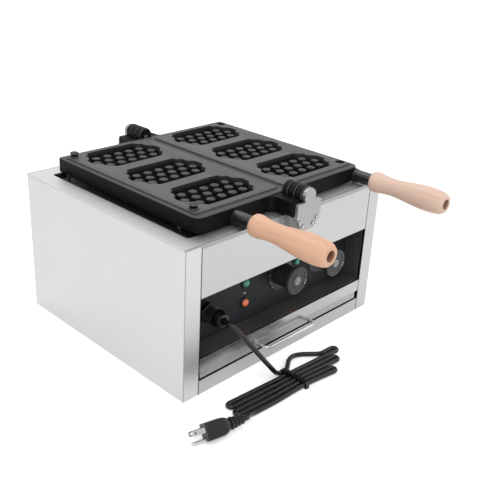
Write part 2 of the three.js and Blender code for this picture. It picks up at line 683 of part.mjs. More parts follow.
// Hinge brackets, pins and screws
const alongHinge = (end, distance) => hinge.middle + end * distance;
const pinHole = hinge.pin + hinge.play;
const tongueOutline = [];
const headStart = Math.asin((tongue.shoulderZ - hinge.z) / tongue.head);
for (let i = 0; i <= hinge.sides / 2; i += 1) {
  const a = headStart + (Math.PI - 2 * headStart) * i / (hinge.sides / 2);
  tongueOutline.push([tongue.head * Math.cos(a), hinge.z + tongue.head * Math.sin(a)]);
}
for (const side of [-1, 1]) {
  const flank = [
    [side * (tongue.shoulder - tongue.corner), tongue.shoulderZ],
    [side * tongue.shoulder, tongue.shoulderZ - tongue.corner],
    [side * tongue.shoulder, tongue.lowZ],
    [side * tongue.foot, tongue.footZ],
  ];
  tongueOutline.push(...(side < 0 ? flank : flank.reverse()));
}
for (const [name, end, wall] of [["front", -1, front], ["rear", 1, back]]) {
  const inner = alongHinge(end, tongue.start);
  const outer = alongHinge(end, tongue.start + tongue.thick);
  const plateFace = wall + end * gap;
  const plateOuter = plateFace + end * block.plate;
  const screws = [];
  for (const side of [-1, 1]) {
    bracketScrew.x.forEach((x, i) => screws.push([side * x, bracketScrew.z[i], side, i]));
  }
  const body = join(
    push(tongueOutline, Math.min(inner, outer), Math.max(inner, outer)),
    slab(-block.half, block.half, plateFace, inner + end * overrun, block.bottom, block.top),
    slab(-block.base, block.base, plateFace, plateOuter, block.baseBottom, block.baseTop),
  );
  // Real brackets have the pin pressed in; here it ends in a blind bore
  const pinEnd = inner + end * tongue.pinDeep;
  const holes = [rodY(0, hinge.z, pinHole, inner - end * overrun, pinEnd + end * gap, hinge.sides)];
  if (end < 0) {
    const holeEnd = outer - end * bracketScrew.reach;
    const shankEnd = holeEnd + end * overrun;
    screws.forEach(([x, z, side, i]) => {
      const label = `bracket_screw_${side < 0 ? "left" : "right"}_${i === 0 ? "upper" : "lower"}`;
      const under = outer + end * gap;
      const sides = bracketScrew.sides;
      holes.push(rodY(x, z, bracketScrew.shank + gap, outer + end * overrun, holeEnd, sides));
      piece(label, meshOf(join(
        rodY(x, z, bracketScrew.head, under, under + end * bracketScrew.tall, sides),
        rodY(x, z, bracketScrew.shank, under + end * overrun, shankEnd, sides),
      )), chrome);
    });
  }
  piece(`hinge_bracket_${name}`, meshOf(cut(body, ...holes)), steel);
  const pinInner = alongHinge(end, mould.half + gap);
  piece(`hinge_pin_${name}`, rodY(0, hinge.z, hinge.pin, pinInner, pinEnd, hinge.sides), chrome);
}

// Moulds
const faceZ = hinge.z - mould.faceDrop;
const rimZ = faceZ - mould.step;

/** Outline of a mould's block, drawn in by an inset on its three free sides. */
function mouldOutline(inset, z) {
  const half = mould.half - inset;
  const corners = [mould.frontCorner, mould.rearCorner, mould.step, mould.step];
  const radii = corners.map((radius) => Math.max(radius - inset, mould.step));
  const points = rounded(mould.inner, mould.outer - inset, -half, half, radii);
  return points.map(([x, y]) => [Math.max(x, mould.inner), y, z]);
}

/** A cavity's outline about its own middle, drawn in by a share. */
function cavityOutline(share, z, x, y) {
  const quarter = cavityShares.map(([u, v]) => [u * cavity.halfLong * share, v * cavity.halfWide * share]);
  const ring = [
    ...quarter.map(([u, v]) => [u, v]).reverse(),
    ...quarter.map(([u, v]) => [-u, v]),
    ...quarter.map(([u, v]) => [-u, -v]).reverse(),
    ...quarter.map(([u, v]) => [u, -v]),
  ];
  return ring.map(([u, v]) => [x + u, y + v, z]);
}

/** An outline that need not be convex, raised and drawn in towards its foot. */
function draftedCut(x, y) {
  const outlineTop = cavityOutline(1 + overrun * cavity.draft / cavity.deep, faceZ + overrun, x, y);
  const outlineLow = cavityOutline(1 - cavity.draft, faceZ - cavity.deep, x, y);
  const count = outlineTop.length;
  const places = [...outlineLow, ...outlineTop].flat();
  const geometry = new THREE.BufferGeometry();
  geometry.setAttribute("position", new THREE.Float32BufferAttribute(places, 3));
  const index = [];
  for (let k = 0; k < count; k += 1) {
    const next = (k + 1) % count;
    index.push(k, next, next + count, k, next + count, k + count);
  }
  const flat = outlineLow.map(([u, v]) => new THREE.Vector2(u, v));
  for (const [a, b, c] of THREE.ShapeUtils.triangulateShape(flat, [])) {
    index.push(a, c, b, a + count, b + count, c + count);
  }
  geometry.setIndex(index);
  return outward(geometry);
}

/** One bump that stands on a cavity's floor. */
function bumpAt(x, y) {
  const top = faceZ - bump.drop;
  const floor = faceZ - cavity.deep - bump.sink;
  const profile = [
    [0, floor], [bump.base, floor], [bump.top, top - bump.bevel], [bump.crown, top], [0, top],
  ];
  return turned(profile, bump.sides).rotateX(quarterTurn).translate(x, y, 0);
}

/** Plan of a hinge arm: filleted into the mould's end wall, rounded at its free corner. */
function armPlan(end, reach) {
  const wall = mould.half;
  const points = [[lug.clear, wall - lug.bite], [lug.outer + lug.fillet, wall - lug.bite]];
  for (let i = 0; i <= lug.steps; i += 1) {
    const a = quarterTurn * i / lug.steps;
    points.push([lug.outer + lug.fillet * (1 - Math.sin(a)), wall + lug.fillet * (1 - Math.cos(a))]);
  }
  for (let i = 0; i <= lug.steps; i += 1) {
    const a = quarterTurn * i / lug.steps;
    points.push([lug.outer - lug.corner * (1 - Math.cos(a)), reach - lug.corner * (1 - Math.sin(a))]);
  }
  points.push([lug.clear, reach]);
  return points.map(([x, y]) => [x, end * y]);
}

/** One mould, drawn on the +X side; side -1 mirrors it to the left. */
function mouldBody(side) {
  const m = mould;
  const rings = [mouldOutline(0, m.bottom)];
  for (let i = 0; i <= m.shoulderSteps; i += 1) {
    const a = quarterTurn * i / m.shoulderSteps;
    const inset = m.shoulder * (1 - Math.cos(a));
    rings.push(mouldOutline(inset, rimZ - m.shoulder * (1 - Math.sin(a))));
  }
  const parts = [
    outward(loft(rings)),
    raise(rounded(m.faceInner, m.faceOuter, -m.faceHalf, m.faceHalf, m.faceCorner), rimZ - overrun, faceZ),
  ];
  const cuts = [];
  const ribbed = (2 * m.half - m.wall) / cavity.count;
  const hollowTop = faceZ - cavity.deep - m.web;
  for (let i = 0; i < cavity.count; i += 1) {
    const y = cavity.first + i * cavity.pitch;
    const y0 = m.wall - m.half + i * ribbed;
    const ventY = y + vent.aside;
    cuts.push(
      draftedCut(cavity.x, y),
      slab(m.inner + m.wall, m.outer - m.wall, y0, y0 + ribbed - m.wall, m.bottom - overrun, hollowTop),
      slab(cavity.x + cavity.halfLong - vent.bite, m.faceOuter + overrun,
        ventY - vent.width / 2, ventY + vent.width / 2, faceZ - vent.deep, faceZ + overrun),
    );
  }
  const bumps = [];
  for (let i = 0; i < cavity.count; i += 1) {
    const y = cavity.first + i * cavity.pitch;
    bumpRows.forEach((count, row) => {
      for (let k = 0; k < count; k += 1) {
        bumps.push(bumpAt(cavity.x + (k - (count - 1) / 2) * bump.pitch, y + (row - 1) * bump.row));
      }
    });
  }
  let body = bumps.map(solid).reduce((a, b) => a.add(b), cut(join(...parts), ...cuts));

  const left = side < 0;
  const reach = left ? knuckles.outer[1] : knuckles.centre[1];
  const mine = left ? [knuckles.inner, knuckles.outer] : [knuckles.centre];
  const handle = side * (left ? handleX.left : handleX.right);
  [-1, 1].forEach((end, i) => {
    const arms = [raise(armPlan(end, reach), m.bottom, lug.top)];
    for (const [y0, y1] of mine) {
      arms.push(
        barrelY(0, hinge.z, hinge.radius, end * y0, end * y1, hinge.chamfer, hinge.sides),
        slab(0, lug.clear + overrun, end * y0, end * y1, hinge.z - hinge.radius, lug.top),
      );
    }
    const bores = mine.map(([y0, y1]) =>
      rodY(0, hinge.z, pinHole, end * (y0 - overrun), end * (y1 + overrun), hinge.sides));
    const hole = left ? locator.spigot + gap : locator.hole;
    const deep = left ? locator.seat + gap : locator.holeDeep;
    bores.push(rodZ(locator.x, locator.y[i], hole, faceZ - deep, faceZ + overrun, locator.sides));
    body = cut(join(...arms).add(body), ...bores);
  });
  body = body.add(solid(neckBody(handle)));
  const mouth = -m.half - neck.long - neck.collarThick;
  const threadEnd = mouth + bolt.intoNeck;
  const threaded = rodY(handle, neck.z, bolt.radius + gap, mouth - overrun, threadEnd, hinge.sides);
  const geometry = meshOf(cut(body, threaded));
  if (left) {
    geometry.scale(-1, 1, 1);
    const order = geometry.index.array;
    for (let i = 0; i < order.length; i += 3) {
      [order[i + 1], order[i + 2]] = [order[i + 2], order[i + 1]];
    }
    geometry.computeVertexNormals();
  }
  return geometry.translate(0, hinge.middle, 0);
}

/** The round cast neck between a mould and its grip, with the collar at its end. */
function neckBody(x) {
  const foot = neck.long;
  const profile = [
    [0, -neck.bite], [neck.root, -neck.bite], [neck.root, 0], [neck.radius, neck.flare], [neck.radius, foot],
    [neck.collar, foot], [neck.collar, foot + neck.collarThick], [0, foot + neck.collarThick],
  ];
  return turnedForward(profile, neck.sides, x, -mould.half, neck.z);
}

piece("mould_left", mouldBody(-1), casting);
piece("mould_right", mouldBody(1), casting);
const pinTop = locator.tall;
const pinProfile = [
  [0, -locator.seat], [locator.spigot, -locator.seat], [locator.spigot, gap], [locator.radius, gap],
  [locator.radius, locator.waistTall], [locator.waist, locator.waistTall + gap],
  [locator.waist, pinTop - locator.crown - locator.waistTall], [locator.radius, pinTop - locator.crown],
  [locator.dome, pinTop - gap], [0, pinTop],
];
["front", "rear"].forEach((name, i) => {
  const pin = turned(pinProfile, locator.sides).rotateX(quarterTurn);
  piece(`locating_pin_${name}`, pin.translate(-locator.x, hinge.middle + locator.y[i], faceZ), chrome);
});

// Grips and the bolts that hold them
const gripBack = hinge.middle - mould.half - neck.long - neck.collarThick - gap;
const gripFront = gripBack - grip.long;
for (const [name, x] of [["left", handleX.left], ["right", handleX.right]]) {
  const boreEnd = grip.long - grip.boreDeep;
  const profile = [
    [grip.rod, 0], ...gripStations.share.map((share, i) => [gripRadius[i], share * grip.long]),
    [grip.bore, grip.long], [grip.bore, boreEnd], [grip.rod, boreEnd], [grip.rod, 0],
  ];
  piece(`grip_${name}`, turnedForward(profile, grip.sides, x, gripBack, neck.z), wood);
  const seatY = gripFront + grip.boreDeep;
  const rodEnd = gripBack + gap + bolt.intoNeck - bolt.tipGap;
  piece(`grip_bolt_${name}`, meshOf(join(
    rodY(x, neck.z, bolt.head, seatY - gap - bolt.headLong, seatY - gap, 6),
    rodY(x, neck.z, bolt.radius, seatY - gap - overrun, rodEnd, hinge.sides / 2),
  )), chrome);
}

// Crumb tray with its wire handle
const trayFront = front + tray.setback;
const trayBack = trayFront + tray.deep;
const [trayLeft, trayRight] = [tray.x - tray.half, tray.x + tray.half];
const wireHoles = [-1, 1].map((side) => rodY(bow.x + side * bow.half, bow.z, bow.wire + bow.play,
  trayFront - overrun, trayFront + tray.wall + overrun, bow.sides));
piece("crumb_tray", meshOf(cut(
  solid(slab(trayLeft, trayRight, trayFront, trayBack, tray.bottom, tray.top)),
  slab(trayLeft + tray.wall, trayRight - tray.wall, trayFront + tray.wall, trayBack - tray.wall,
    tray.bottom + tray.wall, tray.top + overrun),
  ...wireHoles,
)), steel);
const bowAt = (side, y) => new THREE.Vector3(bow.x + side * bow.half, y, bow.z);
const bowLine = roundedLine([
  bowAt(-1, trayFront + tray.wall + bow.tail), bowAt(-1, trayFront - bow.reach),
  bowAt(1, trayFront - bow.reach), bowAt(1, trayFront + tray.wall + bow.tail),
], bow.bend, bow.bendSteps);
piece("tray_handle", tube(bowLine, bow.wire, bow.sides), chrome);

// Cord, plug and tie
const vector = ([x, y, z]) => new THREE.Vector3(x, y, z);

/** Even stations along a smooth line, with a straight diameter kept at each end. */
function routed(points, startAlong, endAlong, steps) {
  const first = points[0];
  const last = points[points.length - 1];
  const one = 2 * cord.radius;
  const line = [
    first, first.clone().addScaledVector(startAlong, one), ...points.slice(1, -1),
    last.clone().addScaledVector(endAlong, -one), last,
  ];
  const curve = new THREE.CatmullRomCurve3(line, false, "centripetal");
  const inner = curve.getSpacedPoints(steps);
  const stretch = first.distanceTo(inner[1]);
  inner[1] = first.clone().addScaledVector(startAlong, stretch);
  inner[steps - 1] = last.clone().addScaledVector(endAlong, -stretch);
  return inner;
}

/** Place of one of the hank's lanes at x; lanes count half pitches from the middle line. */
function laneY(x, lane) {
  const away = Math.min(Math.abs(x - hank.waistX) / hank.waistLong, 1);
  const ease = away * away * (3 - 2 * away);
  const pitch = hank.waistPitch + (hank.pitch - hank.waistPitch) * ease;
  return hank.waistY - hank.slant * (x - hank.waistX) + lane * pitch / 2;
}

/** A run of the hank from x0 to x1 in one lane, bulging out where it lies loose. */
function run(points, x0, x1, lane, loose = false) {
  const steps = Math.max(Math.round(Math.abs(x1 - x0) / hank.runStep), 1);
  for (let i = 0; i <= steps; i += 1) {
    const x = x0 + (x1 - x0) * i / steps;
    const part = (x - hank.bulgeFrom) / (hank.bulgeTo - hank.bulgeFrom);
    const inside = loose && part > 0 && part < 1;
    const out = inside ? hank.bulge * Math.sin(Math.PI * part) ** hank.bulgeEase : 0;
    const point = new THREE.Vector3(x, laneY(x, lane) + out, hank.low);
    if (points.length === 0 || points[points.length - 1].distanceTo(point) > gap) {
      points.push(point);
    }
  }
}

/** Half a turn at an end of the hank, from one lane to the next one but one. */
function fold(points, x, way, fromLane, toLane) {
  const from = laneY(x, fromLane);
  const to = laneY(x, toLane);
  const radius = Math.abs(from - to) / 2;
  for (let i = 1; i < hank.foldSteps; i += 1) {
    const a = Math.PI * i / hank.foldSteps;
    const y = (from + to) / 2 + (from - to) / 2 * Math.cos(a);
    points.push(new THREE.Vector3(x + way * radius * Math.sin(a), y, hank.low));
  }
}

const hankLine = [];
const [backTip, middleTip, frontTip] = hank.tips;
const [backFold, frontFold] = hank.folds;
run(hankLine, hank.start, hank.bulgeFrom, 5);
run(hankLine, hank.bulgeFrom, hank.bulgeTo, 5, true);
run(hankLine, hank.bulgeTo, backTip, 5);
fold(hankLine, backTip, 1, 5, 3);
run(hankLine, backTip, backFold, 3);
fold(hankLine, backFold, -1, 3, 1);
run(hankLine, backFold, middleTip, 1);
fold(hankLine, middleTip, 1, 1, -1);
run(hankLine, middleTip, frontFold, -1);
fold(hankLine, frontFold, -1, -1, -3);
run(hankLine, frontFold, frontTip, -3);
fold(hankLine, frontTip, 1, -3, -5);
run(hankLine, frontTip, hank.end, -5);

/** Least space between the cord's surfaces where it passes itself. */
function leastGap(points, radius) {
  const fine = [];
  let along = 0;
  points.forEach((point, i) => {
    if (i === 0) {
      return;
    }
    const step = point.distanceTo(points[i - 1]);
    const parts = Math.max(Math.ceil(step / radius * 2), 1);
    for (let k = 0; k < parts; k += 1) {
      fine.push([points[i - 1].clone().lerp(point, k / parts), along + step * k / parts]);
    }
    along += step;
  });
  let least = Infinity;
  for (let i = 0; i < fine.length; i += 1) {
    for (let k = i + 1; k < fine.length; k += 1) {
      if (fine[k][1] - fine[i][1] > Math.PI * radius) {
        least = Math.min(least, fine[i][0].distanceTo(fine[k][0]) - 2 * radius);
      }
    }
  }
  return [least, along];
}

const forward = new THREE.Vector3(0, -1, 0);
const hankStart = hankLine[0];
const hankEnd = hankLine[hankLine.length - 1];
const leadEnd = hankStart.clone().add(new THREE.Vector3(-gap, 0, 0));
const leadStart = new THREE.Vector3(gland.x, glandFront - gap, gland.z);
const along = hankLine[1].clone().sub(hankStart).normalize();
const leadLine = routed([leadStart, ...lead.map(vector), leadEnd], forward, along, cord.leadSteps);
const plugTurn = plug.turn * Math.PI / 180;
const plugWay = new THREE.Vector3(-Math.cos(plugTurn), Math.sin(plugTurn), 0);
const plugStart = vector(plug.start);
const tailStart = hankEnd.clone().add(new THREE.Vector3(-gap, 0, 0));
const tailEnd = plugStart.clone().addScaledVector(plugWay, -gap);
const leaving = hankEnd.clone().sub(hankLine[hankLine.length - 2]).normalize();
const tailLine = routed([tailStart, ...tail.map(vector), tailEnd], leaving, plugWay, cord.tailSteps);
piece("cord_lead", tube(leadLine, cord.radius, cord.sides), rubber);
piece("cord_hank", tube(hankLine, cord.radius, hank.sides), rubber);
piece("cord_tail", tube(tailLine, cord.radius, cord.sides), rubber);
const [hankGap, hankLength] = leastGap(hankLine, cord.radius);
const lengthOf = (points) => leastGap(points, cord.radius)[1];
const cordLength = hankLength + lengthOf(leadLine) + lengthOf(tailLine);
console.log(`hank: least gap to itself ${hankGap.toFixed(2)} mm; cord ${cordLength.toFixed(0)} mm long`);

/** Outline of the tie, a flat band about the hank's waist, grown outwards by a thickness. */
function tieOutline(grown) {
  const side = 5 * hank.waistPitch / 2 + cord.radius + tie.play + grown;
  const low = tie.low + tie.thick - grown;
  const high = hank.low + cord.radius + tie.play + grown;
  return [[-side, low], [side, low], [side, high - tie.bevel], [side - tie.bevel, high],
    [tie.bevel - side, high], [-side, high - tie.bevel]];
}
const band = (outline, long) => push(outline, -long / 2, long / 2).rotateZ(quarterTurn);
const tieBody = cut(solid(band(tieOutline(tie.thick), tie.wide)), band(tieOutline(0), tie.wide + overrun));
piece("cord_tie", meshOf(tieBody).translate(hank.waistX, hank.waistY, 0), blackPlastic);

/** Places a body drawn along +Z so that it points along the plug. */
function alongPlug(geometry) {
  const rolled = geometry.rotateZ(plug.roll * Math.PI / 180).rotateX(quarterTurn);
  return rolled.rotateZ(quarterTurn + Math.PI - plugTurn).translate(...plug.start);
}
const reliefProfile = [[0, 0]];
for (let i = 0; i < plug.ribs; i += 1) {
  const step = plug.relief / plug.ribs;
  const rib = plug.rib + i * plug.ribGrowth;
  const ribEnd = (i + plug.ribShare) * step;
  reliefProfile.push([rib, i * step], [rib, ribEnd], [plug.core, ribEnd], [plug.core, (i + 1) * step]);
}
const plugEnd = plug.relief + plug.body;
reliefProfile.push(
  [plug.neck, plug.relief], [plug.shoulder, plug.relief + plug.bevel * 3], [plug.half, plugEnd - plug.bevel],
  [plug.half - plug.bevel, plugEnd], [0, plugEnd],
);
piece("plug_body", alongPlug(turned(reliefProfile, plug.sides).rotateX(quarterTurn)), blackPlastic);
const bladeStart = plugEnd + gap;
for (const [name, side] of [["left", -1], ["right", 1]]) {
  const x = side * blade.aside;
  const flat = slab(x - blade.thick / 2, x + blade.thick / 2, blade.side - blade.wide / 2,
    blade.side + blade.wide / 2, bladeStart, bladeStart + blade.long);
  piece(`plug_blade_${name}`, alongPlug(flat), chrome);
}
const groundPin = rodZ(0, -ground.side, ground.radius, bladeStart, bladeStart + ground.long, ground.sides);
piece("plug_ground_pin", alongPlug(groundPin), chrome);

export default model;
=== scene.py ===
"""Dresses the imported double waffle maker: fine surfaces, finishes, cord, studio and camera.

Sizes in the classes are millimetres in the row frame, and meshes are built in metres.
"""

import logging
import math
from dataclasses import dataclass, field
from enum import Enum
from typing import Iterable, Mapping, Sequence

import bmesh
import bpy
from mathutils import Matrix, Vector


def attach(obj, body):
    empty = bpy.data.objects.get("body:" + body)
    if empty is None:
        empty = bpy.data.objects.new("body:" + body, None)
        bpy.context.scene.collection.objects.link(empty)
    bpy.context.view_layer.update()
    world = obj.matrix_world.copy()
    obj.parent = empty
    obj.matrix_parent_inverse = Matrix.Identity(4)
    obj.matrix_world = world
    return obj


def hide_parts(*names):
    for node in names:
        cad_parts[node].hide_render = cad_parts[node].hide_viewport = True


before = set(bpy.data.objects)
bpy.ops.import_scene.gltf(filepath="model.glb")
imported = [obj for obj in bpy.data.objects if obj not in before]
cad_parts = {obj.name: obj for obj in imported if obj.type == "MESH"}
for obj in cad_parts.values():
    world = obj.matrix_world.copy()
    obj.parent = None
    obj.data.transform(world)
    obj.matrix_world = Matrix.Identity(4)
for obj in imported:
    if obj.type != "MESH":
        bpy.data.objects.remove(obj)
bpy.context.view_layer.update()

logging.basicConfig(level=logging.INFO, format="%(levelname)s %(message)s")
log = logging.getLogger("waffle_maker")

MM = 0.001
WELD = 2e-7  # vertices nearer than this, in metres, become one
NEAR = 1e-6  # how far a vertex may lie off a plane, in metres
SAME = 1e-7  # how far it may lie off the land between the cavities
Point = tuple[float, float, float]
Flat = tuple[float, float]
Profile = tuple[tuple[float, ...], ...]
Edges = list[bmesh.types.BMEdge]
Tree = bpy.types.NodeTree
Node = bpy.types.Node
Socket = bpy.types.NodeSocket
Inputs = Mapping[str | int, object]


class Body(Enum):
    """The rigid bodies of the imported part."""

    CASE = "case"
    MOULD_LEFT = "mould_left"
    MOULD_RIGHT = "mould_right"
    KNOB_LEFT = "knob_left"
    KNOB_RIGHT = "knob_right"
    TRAY = "tray"


class Side(Enum):
    """Which side of the hinge line a piece lies on."""

    LEFT = -1
    RIGHT = 1

    @property
    def word(self) -> str:
        """The side's name in the pieces' names."""
        return self.name.lower()

    @property
    def body(self) -> Body:
        """The body of the mould on this side."""
        return Body.MOULD_LEFT if self is Side.LEFT else Body.MOULD_RIGHT


# Finishes


@dataclass(frozen=True)
class Fold:
    """Painted shade along a fold or a seam in the sheet, alike on every side of the case.

    Attributes:
        axes: 1 for the two axes that it lies across, 0 for its own.
        place: Where it lies, in millimetres from the middle.
        width: How far its shade reaches, in millimetres.
        share: How dark it is.
    """

    axes: Point
    place: Point
    width: float
    share: float


@dataclass(frozen=True)
class Finish:
    """One surface finish.

    Attributes:
        slot: The record's material slot.
        color: Base colour.
        roughness: Middle roughness.
        metallic: 1 for bare metal.
        stretch: How the fine grain is drawn out along X, Y and Z.
        scale: Fineness of the grain.
        relief: Strength of the grain as relief.
        vary: How far the roughness moves with the grain.
        tint: How far the colour moves with the grain and the clouds.
        coat: Weight of a clear coat.
        worn: Colour where the mesh marks wear and painted light: real wear on the edges, and painted
            top light on the faces that face the lamps.
        specular: Strength of the sheen on what isn't metal. A finish with marked wear and painted
            light has less of it where the mesh doesn't mark them, and more where it does.
        folds: Painted shade along the folds and seams in the sheet.
    """

    slot: str
    color: Point
    roughness: float
    metallic: float = 0.0
    stretch: Point = (1.0, 1.0, 1.0)
    scale: float = 1200.0
    relief: float = 0.05
    vary: float = 0.08
    tint: float = 0.06
    coat: float = 0.0
    worn: Point = (0.0, 0.0, 0.0)
    specular: float = 0.5
    folds: tuple[Fold, ...] = ()


# Painted shade along the case's corner folds and along the seam between stile and fascia.
CASE_FOLDS = (
    Fold((1.0, 1.0, 0.0), (200.0, 175.0, 0.0), 1.5, 0.45),
    Fold((1.0, 1.0, 0.0), (173.45, 175.0, 0.0), 1.1, 0.9),
)
# Painted shade along the deck's front fold, over the top of the fascia.
DECK_FOLDS = (Fold((0.0, 1.0, 1.0), (0.0, 175.0, 215.8), 4.2, 0.42),)
ACROSS: Point = (0.02, 1.0, 1.0)
ALONG: Point = (1.0, 0.02, 1.0)
UPWARD: Point = (1.0, 1.0, 0.03)


class Look(Enum):
    """Every finish on the waffle maker but the handles' wood."""

    FRONT_STEEL = Finish(
        "stainless", (0.455, 0.458, 0.462), 0.34, 1.0, ACROSS, 900.0, 0.015, 0.10, 0.04,
        folds=CASE_FOLDS,
    )
    LOWER_STEEL = Finish(
        "stainless", (0.42, 0.42, 0.42), 0.24, 1.0, ACROSS, 900.0, 0.02, 0.10, 0.14,
        folds=CASE_FOLDS,
    )
    # A paler copy of the stainless for the left side panel: painted light where it faces the lamps; the
    # right panel takes FRONT_STEEL.
    SIDE_STEEL = Finish(
        "stainless", (0.55, 0.554, 0.559), 0.38, 1.0, ALONG, 900.0, 0.015, 0.10, 0.04,
        folds=CASE_FOLDS,
    )
    # A paler copy of the stainless for the top deck: painted top light; the fascia below, of the same
    # sheet, takes FRONT_STEEL.
    DECK_STEEL = Finish(
        "stainless", (0.60, 0.604, 0.608), 0.50, 1.0, ACROSS, 900.0, 0.015, 0.10, 0.04,
        folds=DECK_FOLDS,
    )
    TRAY_STEEL = Finish("stainless", (0.34, 0.34, 0.34), 0.36, 1.0, ACROSS, 900.0, 0.02, 0.12, 0.12)
    BRACKET_STEEL = Finish(
        "stainless", (0.34, 0.34, 0.34), 0.42, 1.0, UPWARD, 800.0, 0.02, 0.12, 0.08
    )
    # A darker copy of the stainless for the recess liner: painted shade in the recess.
    RECESS_STEEL = Finish(
        "stainless", (0.24, 0.24, 0.24), 0.46, 1.0, ACROSS, 700.0, 0.03, 0.12, 0.15
    )
    PANEL_COAT = Finish("dark_sheet", (0.007, 0.008, 0.011), 0.50, specular=0.25)
    # Near-black for the heater well, its frame, its rests and their screws: a dark coat together with
    # painted shade in the well.
    WELL_COAT = Finish("dark_sheet", (0.02, 0.02, 0.02), 0.5)
    # Marked tops and edges take the paler colour: real wear together with painted top light.
    IRON_COAT = Finish(
        "coated_casting", (0.004, 0.004, 0.004), 0.48,
        relief=0.12, vary=0.12, tint=0.2, worn=(0.085, 0.085, 0.088), specular=0.25,
    )
    # The collar's marked ring takes the paler colour and a strong sheen: a painted highlight, together
    # with wear.
    NECK_COAT = Finish(
        "coated_casting", (0.011, 0.011, 0.012), 0.27, worn=(0.085, 0.085, 0.088), specular=1.6
    )
    CHROME = Finish(
        "bright_metal", (0.46, 0.46, 0.465), 0.13, 1.0, relief=0.01, vary=0.05, tint=0.02
    )
    SCREW_STEEL = Finish("bright_metal", (0.50, 0.50, 0.49), 0.28, 1.0, relief=0.04, vary=0.12)
    KNOB_PLASTIC = Finish("black_plastic", (0.026, 0.026, 0.027), 0.45, tint=0.1, specular=0.3)
    HUB_PLASTIC = Finish("black_plastic", (0.22, 0.22, 0.225), 0.35, 0.3)
    GLAND_PLASTIC = Finish("black_plastic", (0.002, 0.002, 0.002), 0.24, tint=0.1, specular=0.4)
    BLACK_PLASTIC = Finish("black_plastic", (0.004, 0.004, 0.005), 0.30, tint=0.1, specular=0.4)
    FLANGE_PLATE = Finish("grey_plate", (0.014, 0.014, 0.015), 0.38, tint=0.1, specular=0.4)
    PRINT = Finish("grey_plate", (0.38, 0.39, 0.40), 0.6, relief=0.02, vary=0.05)
    GREEN_LENS = Finish(
        "green_lens", (0.010, 0.26, 0.17), 0.16, relief=0.02, vary=0.05, tint=0.3, coat=0.5
    )
    ORANGE_LENS = Finish(
        "orange_lens", (0.72, 0.13, 0.035), 0.16, relief=0.02, vary=0.05, tint=0.3, coat=0.5
    )
    CORD_RUBBER = Finish(
        "cord_rubber", (0.003, 0.003, 0.0034), 0.27,
        relief=0.08, vary=0.08, tint=0.15, specular=0.42,
    )
    CERAMIC = Finish("insulator", (0.62, 0.58, 0.50), 0.5, relief=0.08)
    ELEMENT_SHEATH = Finish(
        "heater_sheath", (0.13, 0.12, 0.11), 0.5, 0.9, relief=0.1, vary=0.15, tint=0.25
    )


@dataclass(frozen=True)
class TurnedWood:
    """The handles' wood: pale with a warm, long grain."""

    pale: Point
    deep: Point
    pore: Point
    slot: str = "handle_wood"
    roughness: float = 0.52
    figure: float = 0.45


class Wood(Enum):
    """The two woods of the handles."""

    SALMON = TurnedWood((0.67, 0.40, 0.266), (0.44, 0.225, 0.134), (0.17, 0.062, 0.038))
    PALE = TurnedWood((0.65, 0.463, 0.37), (0.44, 0.285, 0.205), (0.20, 0.09, 0.06))


# Node trees


def add_node(tree: Tree, kind: str, inputs: Inputs, **settings: object) -> Node:
    """Adds a node, and links or sets its inputs.

    Args:
        tree: The tree that it joins.
        kind: Its type.
        inputs: A socket or a value for each of its inputs that isn't left alone.
        settings: Its other settings.

    Returns:
        The node.
    """
    node = tree.nodes.new(kind)
    for name, value in settings.items():
        setattr(node, name, value)
    feed(tree, node, inputs)
    return node


def feed(tree: Tree, node: Node, inputs: Inputs) -> None:
    """Links or sets a node's inputs.

    Args:
        tree: The node's tree.
        node: The node.
        inputs: A socket or a value for each input.
    """
    for key, value in inputs.items():
        if isinstance(value, Socket):
            tree.links.new(value, node.inputs[key])
        else:
            node.inputs[key].default_value = value


def vector_step(tree: Tree, operation: str, *places: Socket) -> Node:
    """A Vector Math node.

    Args:
        tree: The tree that it joins.
        operation: What it does.
        places: The vectors that it takes.

    Returns:
        The node.
    """
    return add_node(tree, "ShaderNodeVectorMath", dict(enumerate(places)), operation=operation)


def reckon(tree: Tree, operation: str, a: Socket | float, b: Socket | float) -> Socket:
    """The result of a Math node.

    Args:
        tree: The tree that it joins.
        operation: What it does.
        a: A socket or a number.
        b: A socket or a number.

    Returns:
        Its result.
    """
    return add_node(tree, "ShaderNodeMath", {0: a, 1: b}, operation=operation).outputs[0]


def blend(tree: Tree, share: Socket, a: Socket | Iterable, b: Socket | Iterable) -> Socket:
    """Mixes two colours.

    Args:
        tree: The tree that it joins.
        share: Socket of the second colour's share.
        a: A socket or a colour.
        b: A socket or a colour.

    Returns:
        The mixed colour.
    """
    first, second = (c if isinstance(c, Socket) else (*c, 1.0) for c in (a, b))
    inputs = {"Factor": share, 6: first, 7: second}
    return add_node(tree, "ShaderNodeMix", inputs, data_type="RGBA").outputs[2]


def spread(tree: Tree, value: Socket, **limits: Socket | float) -> Socket:
    """A value carried over from one range to another.

    Args:
        tree: The tree that it joins.
        value: The value.
        limits: Ends of the two ranges: from_min, from_max, to_min and to_max.

    Returns:
        The value in the new range.
    """
    inputs = {key.replace("_", " ").title(): limit for key, limit in limits.items()}
    return add_node(tree, "ShaderNodeMapRange", {"Value": value, **inputs}).outputs[0]


